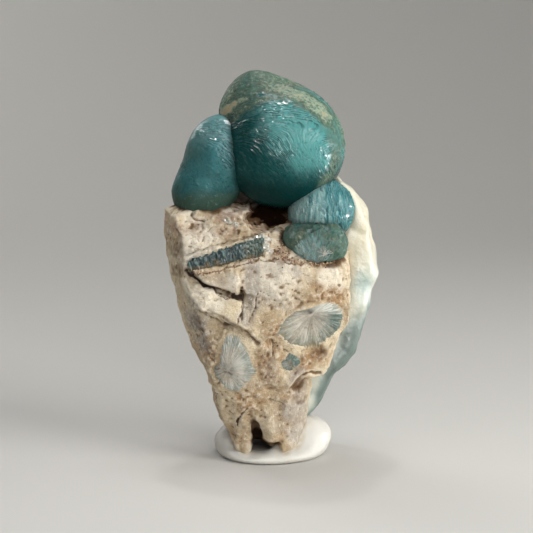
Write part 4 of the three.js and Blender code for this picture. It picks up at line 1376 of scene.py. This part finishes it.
class WAVELLITE_OT_seam(bpy.types.Operator):
    """Build the seam of upright blades along the ledge"""

    bl_idname = "wavellite.seam"
    bl_label = "Seam"

    def execute(self, context):
        look = context.scene.wavellite_seam
        mesh = skin_over(cad_copy("ledge_vein"), look.grid * PER_MM)
        edges = edges_of(mesh)
        points = relax(points_of(mesh), edges, 8)
        set_points(mesh, points)
        normals = normals_of(mesh)
        granular = smoothstep(-2.9, -2.2, points[:, 0] + 0.3 * grain(points, 0.5, 501))
        blades, shade = self.blades(points, look.blade * PER_MM)
        grains, other = self.grains(points)
        push = blades + granular * (grains - blades) + 0.1 * grain(points, 0.6, 503)
        rise = smoothstep(0.3, 0.9, normals[:, 2]) * (0.12 * grain(points, 0.3, 505) + 0.1 * (shade - 0.5))
        points = points + normals * (push + rise)[:, None]
        points[:, 2] -= 0.35 * smoothstep(-2.0, -7.4, points[:, 0])
        set_points(mesh, points)
        give(mesh, "kind", shade + granular * (other - shade))
        give(mesh, "dull", granular)
        (left, start), (right, end) = SEAM_ENDS
        height = points[:, 2] - start - (end - start) * (points[:, 0] - left) / (right - left)
        give(mesh, "tip", smoothstep(0.25, 0.75, height + 0.3 * grain(points, 0.4, 507)))
        give(mesh, "dirty", smoothstep(-0.25, -0.7, height + 0.4 * grain(points, 0.4, 509)))
        finish_piece(mesh, "seam_blades", self.material(look), "wavellite_seam", "ledge_vein")
        return {"FINISHED"}

    def blades(self, points, width):
        """Upright blades side by side that lean to the left: how far each stands out, and its number"""
        lean = 0.32
        across = points[:, 0] * math.cos(lean) + points[:, 2] * math.sin(lean)
        up = points[:, 2] * math.cos(lean) - points[:, 0] * math.sin(lean)
        places = np.stack([across / width, up / (5 * width), points[:, 1] / (2 * width)], 1)
        near, after, way, mark = cells(places + 0.3 * wander(points, 0.5, 511), 1.0, 513)
        push = 0.14 * (mark[:, 0] - 0.5) + 0.12 * (way * (mark - 0.5)).sum(1)
        return push - 0.07 * smoothstep(0.3, 0.0, after - near), mark[:, 2]

    def grains(self, points):
        """The granular end of the seam"""
        near, after, way, mark = cells(points + 0.06 * wander(points, 0.3, 515), 0.24, 517)
        push = 0.1 * (mark[:, 0] - 0.5) + 0.1 * (way * (mark - 0.5)).sum(1)
        return push - 0.06 * smoothstep(0.3, 0.0, after - near), mark[:, 2]

    def material(self, look):
        """Wavellite blades side by side: blue teal, glassy, with paler worn tips"""
        made, tree, shader, place = start_material("seam_wavellite_blades")
        kind, dull, tip, dirty = numbers_of(tree, "kind dull tip dirty")
        speck = add(tree, "TexNoise", {"Vector": place, "Scale": 1 / 0.25, "Detail": 4, "Roughness": 0.6})
        fine = add(tree, "TexNoise", {"Vector": place, "Scale": 1 / 0.12, "Detail": 3, "Roughness": 0.55})
        body = layers(
            tree,
            look.teal,
            (dull, look.dark),
            (kind, 0.55, 1.0, 0.7, look.tip),
            (speck, 0.55, 0.75, 0.6, look.tip),
            (tip, 0, 1, 0.5, look.tip),
            (dirty, 0, 1, 0.75, look.dirt),
        )
        feed(tree, shader, {
            "Base Color": body,
            "Roughness": add(tree, "MapRange", {0: speck, 1: 0.3, 2: 0.7, 3: 0.12, 4: 0.35}, **EASED),
            "IOR": WAVELLITE_IOR,
            "Specular IOR Level": 0.3,
            "Subsurface Weight": 0.2,
            "Subsurface Radius": (0.3, 1.0, 1.0),
            "Subsurface Scale": 0.4 * MM,
            "Normal": add(tree, "Bump", {"Height": fine, "Distance": 0.02 * MM, "Strength": 0.8}),
        })
        return made


class WAVELLITE_OT_grains(bpy.types.Operator):
    """Scatter the small crystals and grains that lie on the ledge and along the seam"""

    bl_idname = "wavellite.grains"
    bl_label = "Grains"

    def execute(self, context):
        look = context.scene.wavellite_grains
        rng = np.random.default_rng(look.seed)
        rock = bvh_of("host_rock")
        sand = self.heap(rock, SAND, SAND_SIZES, rng)
        finish_piece(sand, "rusty_sand", self.sand_material(look), "host_rock", "matrix")
        clear = self.heap(rock, CRYSTALS, CRYSTAL_SIZES, rng)
        made = crystal_material("clear_white_crystals", look.white, 0.2, 0.15, look.grey)
        finish_piece(clear, "white_crystals", made, "wavellite_seam", "ledge_vein").data.shade_flat()
        self.needles(look, rng)
        return {"FINISHED"}

    def heap(self, rock, lines, sizes, rng):
        """Grains beside lines on the rock, between two sizes"""
        shape = bmesh.new()
        kind = shape.verts.layers.float.new("kind")
        for path, spread, count in lines:
            for spot in self.along(path, spread, count, rng):
                self.lump(shape, rock, spot, rng.uniform(*sizes), rng, kind)
        return mesh_of(shape)

    def along(self, path, spread, count, rng):
        """Random places beside a line of x and z points on the rock's front"""
        path = np.array(path)
        for _ in range(count):
            step = rng.integers(len(path) - 1)
            spot = path[step] + rng.uniform() * (path[step + 1] - path[step])
            yield spot + rng.normal(size=2) * spread

    def lump(self, shape, tree, spot, size, rng, kind):
        """One angular grain, seated where the camera's sight line meets the rock"""
        eye, way = sight((spot[0], FRONT, spot[1]))
        place, normal, _, _ = tree.ray_cast(eye, way)
        if place is None:
            return
        made = bmesh.ops.create_icosphere(shape, subdivisions=1, radius=size)
        stretch = Matrix.Diagonal((*rng.uniform(0.6, 1.3, 3), 1))
        turn = Matrix.Rotation(rng.uniform(0, 6.28), 4, Vector(rng.normal(size=3)).normalized())
        seat = Matrix.Translation(place + 0.2 * size * normal)
        bmesh.ops.transform(shape, matrix=seat @ turn @ stretch, verts=made["verts"])
        number = rng.uniform()
        for vertex in made["verts"]:
            vertex[kind] = number

    def needles(self, look, rng):
        """Broken needles at the foot of the half globe, and a spray of pale ones on its face"""
        half = bvh_of("globe_half")
        shards = bmesh.new()
        pale = bmesh.new()
        for _ in range(SHARD_COUNT):
            x = rng.uniform(2.2, 5.0)
            z = 18.7 + rng.uniform(0, 1.7) * (1 - 0.3 * abs(x - 3.3))
            lean = 0.35 * (x - 3.6) + rng.uniform(-0.3, 0.3)
            tall = rng.uniform(0.2, 0.6)
            self.needle(shards, half, (x, z), lean, tall, rng.uniform(0.025, 0.055), rng)
        for step in range(PALE_SPRAY["count"]):
            spot = [middle + rng.uniform(-0.1, 0.1) for middle in PALE_SPRAY["at"]]
            lean = PALE_SPRAY["lean"] + PALE_SPRAY["turn"] * step
            self.needle(pale, half, spot, lean, rng.uniform(0.5, 1.1), PALE_SPRAY["thick"], rng)
        made = crystal_material("broken_teal_needles", look.shard, 0.2, 0.2, look.grey)
        finish_piece(mesh_of(shards), "half_globe_shards", made, "wavellite_globe", "globe_cluster")
        made = crystal_material("pale_needles", look.white, 0.2, 0.25)
        finish_piece(mesh_of(pale), "half_globe_needles", made, "wavellite_globe", "globe_cluster")

    def needle(self, shape, tree, spot, lean, tall, thick, rng):
        """One needle that lies on a globe's skin, leaning from upright by an angle"""
        eye, way = sight((spot[0], FRONT, spot[1]))
        place, normal, _, _ = tree.ray_cast(eye, way)
        if place is None:
            return
        made = bmesh.ops.create_cone(
            shape, cap_ends=True, segments=5, radius1=thick, radius2=0.4 * thick, depth=tall
        )
        along = Vector((math.sin(lean), 0, math.cos(lean)))
        along = along - 0.8 * along.dot(normal) * normal + rng.uniform(-0.1, 0.25) * normal
        along.normalize()
        turn = along.to_track_quat("Z", "Y").to_matrix().to_4x4()
        seat = Matrix.Translation(place + 0.5 * thick * normal + 0.35 * tall * along)
        bmesh.ops.transform(shape, matrix=seat @ turn, verts=made["verts"])

    def sand_material(self, look):
        """Loose rusty sand: each grain red brown, cream or nearly black"""
        made, tree, shader, place = start_material("rusty_sand")
        (kind,) = numbers_of(tree, "kind")
        fine = add(tree, "TexNoise", {"Vector": place, "Scale": 1 / 0.1, "Detail": 3, "Roughness": 0.55})
        grains = layers(tree, look.rust, (kind, 0.3, 0.5, 1, look.cream), (kind, 0.88, 0.95, 1, look.dark))
        feed(tree, shader, {
            "Base Color": grains,
            "Roughness": 0.6,
            "Normal": add(tree, "Bump", {"Height": fine, "Distance": 0.02 * MM, "Strength": 0.8}),
        })
        return made


class WAVELLITE_OT_fans(bpy.types.Operator):
    """Build the three broken fans of needles"""

    bl_idname = "wavellite.fans"
    bl_label = "Fans"

    def execute(self, context):
        look = context.scene.wavellite_fans
        silky = fan_material(look, "silky_wavellite_needles", look.inner, look.outer, look.teal)
        grey = fan_material(look, "grey_wavellite_needles", look.inner, look.grey, look.teal)
        rock = bpy.data.objects["host_rock"].data
        rock_points, rock_normals = points_of(rock) * PER_MM, normals_of(rock)
        for number, (name, fan) in enumerate(FANS.items()):
            face = fan_face(rock_points, rock_normals, fan)
            seed = 200 + 10 * number
            mesh = self.fan_mesh(fan, face, look.ridge * PER_MM, seed)
            self.mark(name, mesh, fan["rays"], seed)
            mesh.transform(fan_frame(fan))
            made = grey if name == "spray_left" else silky
            finish_piece(mesh, name + "_needles", made, "wavellite_fan", name)
        return {"FINISHED"}

    def numbers(self, ray, seed, piece=None):
        """Three repeatable numbers for each needle, or for each broken piece of one"""
        if piece is None:
            return hashed(np.stack([ray, 0 * ray, 0 * ray], 1), seed)
        return hashed(np.stack([ray, piece, np.ones_like(ray)], 1), seed)

    def fan_mesh(self, fan, face, ridge, seed):
        """A disc of needles round a centre, made by bending a flat grid round on itself"""
        rays = fan["rays"]
        shape = bmesh.new()
        shape.loops.layers.uv.new("flat")
        columns = STEPS_PER_RAY * rays
        bmesh.ops.create_grid(shape, x_segments=columns, y_segments=FAN_ROWS, size=0.5, calc_uvs=True)
        mesh = mesh_of(shape)
        flat = points_of(mesh)
        turn = flat[:, 0] + 0.5
        share = flat[:, 1] + 0.5
        angle = turn * 2 * math.pi
        reach = fan_reach(fan, turn)
        ray = np.floor(turn * rays) % rays
        mark = self.numbers(ray, seed)
        phase = turn * rays % 1
        crest = 1 - np.abs(2 * phase - 1)
        bay = np.stack([np.cos(angle) * 3, np.sin(angle) * 3, np.zeros_like(angle)], 1)
        frayed = 1 + 0.05 * (mark[:, 0] - 0.5)
        frayed += 0.07 * grain(bay, 0.5, seed + 1) + 0.05 * grain(bay, 0.15, seed + 2)
        span = 1.1 * share * reach * frayed
        height = ridge * crest * (0.4 + 1.1 * mark[:, 1]) * smoothstep(0.02, 0.2, share)
        # Each needle is broken off here and there, so pieces of it lie higher or lower
        piece = np.floor(share * reach / 0.7 + 5 * mark[:, 2])
        broken = self.numbers(ray, seed + 5, piece)
        height += 0.07 * (broken[:, 0] - 0.5) * smoothstep(0.05, 0.4, share)
        x = np.cos(angle) * span
        z = np.sin(angle) * span
        spot = np.stack([x, np.zeros_like(x), z], 1)
        height += 0.05 * grain(spot, 0.9, seed + 3) + 0.09 - 0.3 * smoothstep(0.7, 1.0, share) * share**2
        set_points(mesh, np.stack([x, bowl(spot) @ face - height, z], 1))
        return self.closed(mesh)

    def closed(self, mesh):
        """The bent grid merged where it meets itself, and closed behind"""
        shape = bmesh.new()
        shape.from_mesh(mesh)
        bmesh.ops.remove_doubles(shape, verts=shape.verts, dist=1e-4)
        bmesh.ops.holes_fill(shape, edges=[e for e in shape.edges if e.is_boundary])
        bmesh.ops.recalc_face_normals(shape, faces=shape.faces)
        return mesh_of(shape)

    def mark(self, name, mesh, rays, seed):
        """Where a fan is teal, white or stained, with painted shade and painted glints on the left fan,
        and a number for each broken piece of a needle
        """
        local = points_of(mesh)
        x = local[:, 0]
        z = local[:, 2]
        turn = np.arctan2(z, x) / (2 * math.pi) % 1
        ray = np.floor(turn * rays + 0.5) % rays
        piece = np.floor(np.hypot(x, z) / 0.9 + 5 * self.numbers(ray, seed)[:, 2])
        fibre = self.numbers(ray, seed + 6, piece)[:, 1]
        white = np.zeros(len(local))
        stain = np.zeros(len(local))
        if name == "spray_right":
            teal = smoothstep(0.7, 2.2, x - 0.2 * z + 0.3 * grain(local, 0.5, 234))
            white = smoothstep(0.1, 0.5, z + 0.18 * x) * (0.3 + 0.5 * smoothstep(0.4, 0.8, fibre))
        elif name == "spray_left":
            # On the left fan: teal grey low down, and painted shade at its upper right
            teal = 0.2 * smoothstep(-1.2, -2.2, z) + 0.35 * smoothstep(1.2, 2.3, x + 0.45 * z)
            # Painted glints: a white patch near the left fan's middle
            white = 0.5 * smoothstep(0.8, 0.2, np.hypot(x - 0.9, z - 0.6) / 1.2)
            gap = line_gap(local + 0.15 * wander(local, 0.35, seed), BROWN_CRACK)
            stain = 0.8 * smoothstep(0.14, 0.02, gap) * smoothstep(-0.6, 0.2, grain(local, 0.3, seed + 9))
        else:
            teal = 0.75 + 0.4 * grain(local, 0.3, 232) + 0.25 * smoothstep(-0.6, 0.6, x + z)
        give(mesh, "fibre", fibre)
        give(mesh, "teal", teal)
        give(mesh, "white", white)
        give(mesh, "stain", stain)


class WAVELLITE_OT_crust(bpy.types.Operator):
    """Build the pale botryoidal crust round the right side and back"""

    bl_idname = "wavellite.crust"
    bl_label = "Crust"

    def execute(self, context):
        look = context.scene.wavellite_crust
        mesh = skin_over(cad_copy("back_crust"), look.grid * PER_MM)
        edges = edges_of(mesh)
        points = relax(points_of(mesh), edges, 24)
        # The lowest spur reaches further down beside the stem than the solid does
        points[:, 2] -= SPUR_DROP * smoothstep(7.0, 5.2, points[:, 2])
        set_points(mesh, points)
        normals = normals_of(mesh)
        near, _, _, mark = cells(points + 0.3 * wander(points, 1.5, 301), look.lump * PER_MM, 303)
        fine, _, _, _ = cells(points + 0.15 * wander(points, 0.7, 305), 0.95, 307)
        push = 0.3 * (0.35 - near**2) * (0.6 + 0.8 * mark[:, 1]) + 0.08 * (0.3 - fine**2)
        push += 0.02 * grain(points, 0.3, 309)
        points = points + normals * push[:, None]
        set_points(mesh, points)
        give(mesh, "hollow", np.clip(hollowness(points, normals_of(mesh), edges, 20) / 0.09, -1, 1))
        cream = smoothstep(-0.1, 0.5, grain(points, 3.0, 311)) + smoothstep(14.0, 19.0, points[:, 2])
        # Painted shade: grey green and darker low on the crust, less so in the strip beside the rock
        low = smoothstep(15.0, 11.0, points[:, 2] + 0.8 * grain(points, 1.6, 313))
        beside = points[:, 0] - 4.1 - 0.42 * (points[:, 2] - 7.0) + 0.3 * grain(points, 0.9, 317)
        low *= 1 - 0.9 * smoothstep(1.2, 0.1, beside) * smoothstep(4.5, 2.5, points[:, 1])
        outer = smoothstep(17.5, 15.0, points[:, 2]) * smoothstep(-0.4, 0.4, grain(points, 2.5, 315))
        give(mesh, "cream", np.clip(0.75 * cream, 0, 0.9) * (1 - low) * (1 - 0.8 * outer))
        give(mesh, "low", low)
        finish_piece(mesh, "crust_lumps", crust_material(look), "wavellite_crust", "back_crust")
        return {"FINISHED"}


class WAVELLITE_OT_putty(bpy.types.Operator):
    """Build the dab of putty that holds the specimen up"""

    bl_idname = "wavellite.putty"
    bl_label = "Putty"

    def execute(self, context):
        look = context.scene.wavellite_putty
        mesh = skin_over(cad_copy("putty"), look.grid * PER_MM)
        edges = edges_of(mesh)
        points = relax(points_of(mesh), edges, 12)
        set_points(mesh, points)
        push = 0.16 * grain(points, 2.6, 401) + 0.07 * grain(points, 1.0, 402)
        push += 0.015 * grain(points, 0.35, 403)
        free = smoothstep(0.15, 0.6, points[:, 2])
        points = points + normals_of(mesh) * (push * free)[:, None]
        worn = points + 0.3 * wander(points, 0.8, 407)
        hollow = smoothstep(1.25, 0.6, np.hypot((worn[:, 0] + 1.0) / 1.4, (worn[:, 1] + 1.8) / 2.2))
        points[:, 2] -= hollow * np.maximum(points[:, 2] - 1.1, 0)
        points[:, 2] = np.maximum(points[:, 2], 0)
        set_points(mesh, points)
        # Painted shade: the rock's shadow in the hollow between the feet, and shade on the left of the dab
        grimy = 0.2 * smoothstep(-1.5, -5.0, points[:, 0] + 0.6 * grain(points, 1.5, 409))
        give(mesh, "dirt", np.maximum(0.8 * hollow**1.5 * smoothstep(0.3, 0.7, points[:, 2]), grimy))
        rock = neighbour("matrix")
        apart = np.array([(rock["tree"].find_nearest(Vector(p))[3] or 9.0) for p in points])
        patchy = smoothstep(-0.2, 0.4, grain(points, 0.5, 405))
        give(mesh, "dust", 0.6 * smoothstep(0.7, 0.2, apart) * patchy)
        finish_piece(mesh, "putty_dab", putty_material(look), "putty", "putty")
        return {"FINISHED"}


class WAVELLITE_OT_stage(bpy.types.Operator):
    """Set the floor, the lights and the camera"""

    bl_idname = "wavellite.stage"
    bl_label = "Stage"

    def execute(self, context):
        look = context.scene.wavellite_stage
        self.floor(look)
        for name, setting, place, size in LIGHTS:
            self.light(name, getattr(look, setting), place, size)
        for place, size in GLINTS:
            self.light("glint", look.spark * size * size, place, size, glint=True)
        world = bpy.data.worlds.new("studio")
        world.use_nodes = True
        context.scene.world = world
        sky = world.node_tree.nodes["Background"]
        feed(world.node_tree, sky, {"Color": (0.75, 0.8, 0.85), "Strength": 0.06})
        lens = bpy.data.cameras.new("camera")
        lens.lens = CAMERA_LENS
        lens.sensor_width = 36
        lens.clip_start = 0.01
        lens.clip_end = 10
        camera = bpy.data.objects.new("camera", lens)
        back = Vector((0, -math.cos(CAMERA_ELEVATION), math.sin(CAMERA_ELEVATION)))
        camera.location = (CAMERA_TARGET + CAMERA_DISTANCE * back) * MM
        camera.rotation_euler = (math.pi / 2 - CAMERA_ELEVATION, 0, 0)
        context.scene.collection.objects.link(camera)
        context.scene.camera = camera
        context.scene.view_settings.view_transform = "Standard"
        return {"FINISHED"}

    def floor(self, look):
        """A plain pale floor that curves up behind the object"""
        shape = bmesh.new()
        bmesh.ops.create_grid(shape, x_segments=8, y_segments=60, size=FLOOR_REACH)
        for vertex in shape.verts:
            beyond = max(0.0, vertex.co.y - SWEEP_START)
            angle = min(beyond / SWEEP_RADIUS, math.pi / 2)
            rest = max(0.0, beyond - SWEEP_RADIUS * math.pi / 2)
            vertex.co.y = min(vertex.co.y, SWEEP_START) + SWEEP_RADIUS * math.sin(angle)
            vertex.co.z = SWEEP_RADIUS * (1 - math.cos(angle)) + rest
        mesh = mesh_of(shape, "floor")
        mesh.transform(Matrix.Scale(MM, 4))
        made, tree, shader, _ = start_material("pale_paper_sweep")
        feed(tree, shader, {"Base Color": look.floor, "Roughness": 0.7})
        mesh.materials.append(made)
        mesh.shade_smooth()
        floor = bpy.data.objects.new("floor", mesh)
        bpy.context.scene.collection.objects.link(floor)

    def light(self, name, power, place, size, glint=False):
        """A soft square light aimed at the object, or one that is seen in reflections alone"""
        lamp = bpy.data.lights.new(name, "AREA")
        lamp.energy = power
        lamp.size = size * MM
        made = bpy.data.objects.new(name, lamp)
        made.location = Vector(place) * MM
        made.rotation_euler = (Vector(place) - LIGHTS_AIM).to_track_quat("Z", "Y").to_euler()
        made.visible_camera = not glint
        made.visible_diffuse = not glint
        bpy.context.scene.collection.objects.link(made)


class WAVELLITE_PT_panel(bpy.types.Panel):
    bl_idname = "WAVELLITE_PT_panel"
    bl_label = "Wavellite specimen"
    bl_space_type = "VIEW_3D"
    bl_region_type = "UI"
    bl_category = "Wavellite"

    def draw(self, context):
        for operator, group in STEPS:
            box = self.layout.box()
            box.operator(operator.bl_idname)
            settings = getattr(context.scene, group)
            for name in settings.bl_rna.properties.keys():
                if name not in ("rna_type", "name"):
                    box.prop(settings, name)


GROUPS = {
    "wavellite_rock": WavelliteRock,
    "wavellite_globes": WavelliteGlobes,
    "wavellite_seam": WavelliteSeam,
    "wavellite_grains": WavelliteGrains,
    "wavellite_fans": WavelliteFans,
    "wavellite_crust": WavelliteCrust,
    "wavellite_putty": WavellitePutty,
    "wavellite_stage": WavelliteStage,
}
STEPS = (
    (WAVELLITE_OT_rock, "wavellite_rock"),
    (WAVELLITE_OT_globes, "wavellite_globes"),
    (WAVELLITE_OT_seam, "wavellite_seam"),
    (WAVELLITE_OT_grains, "wavellite_grains"),
    (WAVELLITE_OT_fans, "wavellite_fans"),
    (WAVELLITE_OT_crust, "wavellite_crust"),
    (WAVELLITE_OT_putty, "wavellite_putty"),
    (WAVELLITE_OT_stage, "wavellite_stage"),
)
CLASSES = (*GROUPS.values(), *(operator for operator, _ in STEPS), WAVELLITE_PT_panel)


def register():
    for made in CLASSES:
        bpy.utils.register_class(made)
    for name, group in GROUPS.items():
        setattr(bpy.types.Scene, name, PointerProperty(type=group))


def unregister():
    for name in GROUPS:
        delattr(bpy.types.Scene, name)
    for made in reversed(CLASSES):
        bpy.utils.unregister_class(made)


def main():
    register()
    bpy.ops.wavellite.rock()
    bpy.ops.wavellite.globes()
    bpy.ops.wavellite.seam()
    bpy.ops.wavellite.grains()
    bpy.ops.wavellite.fans()
    bpy.ops.wavellite.crust()
    bpy.ops.wavellite.putty()
    bpy.ops.wavellite.stage()


if __name__ == "__main__":
    main()
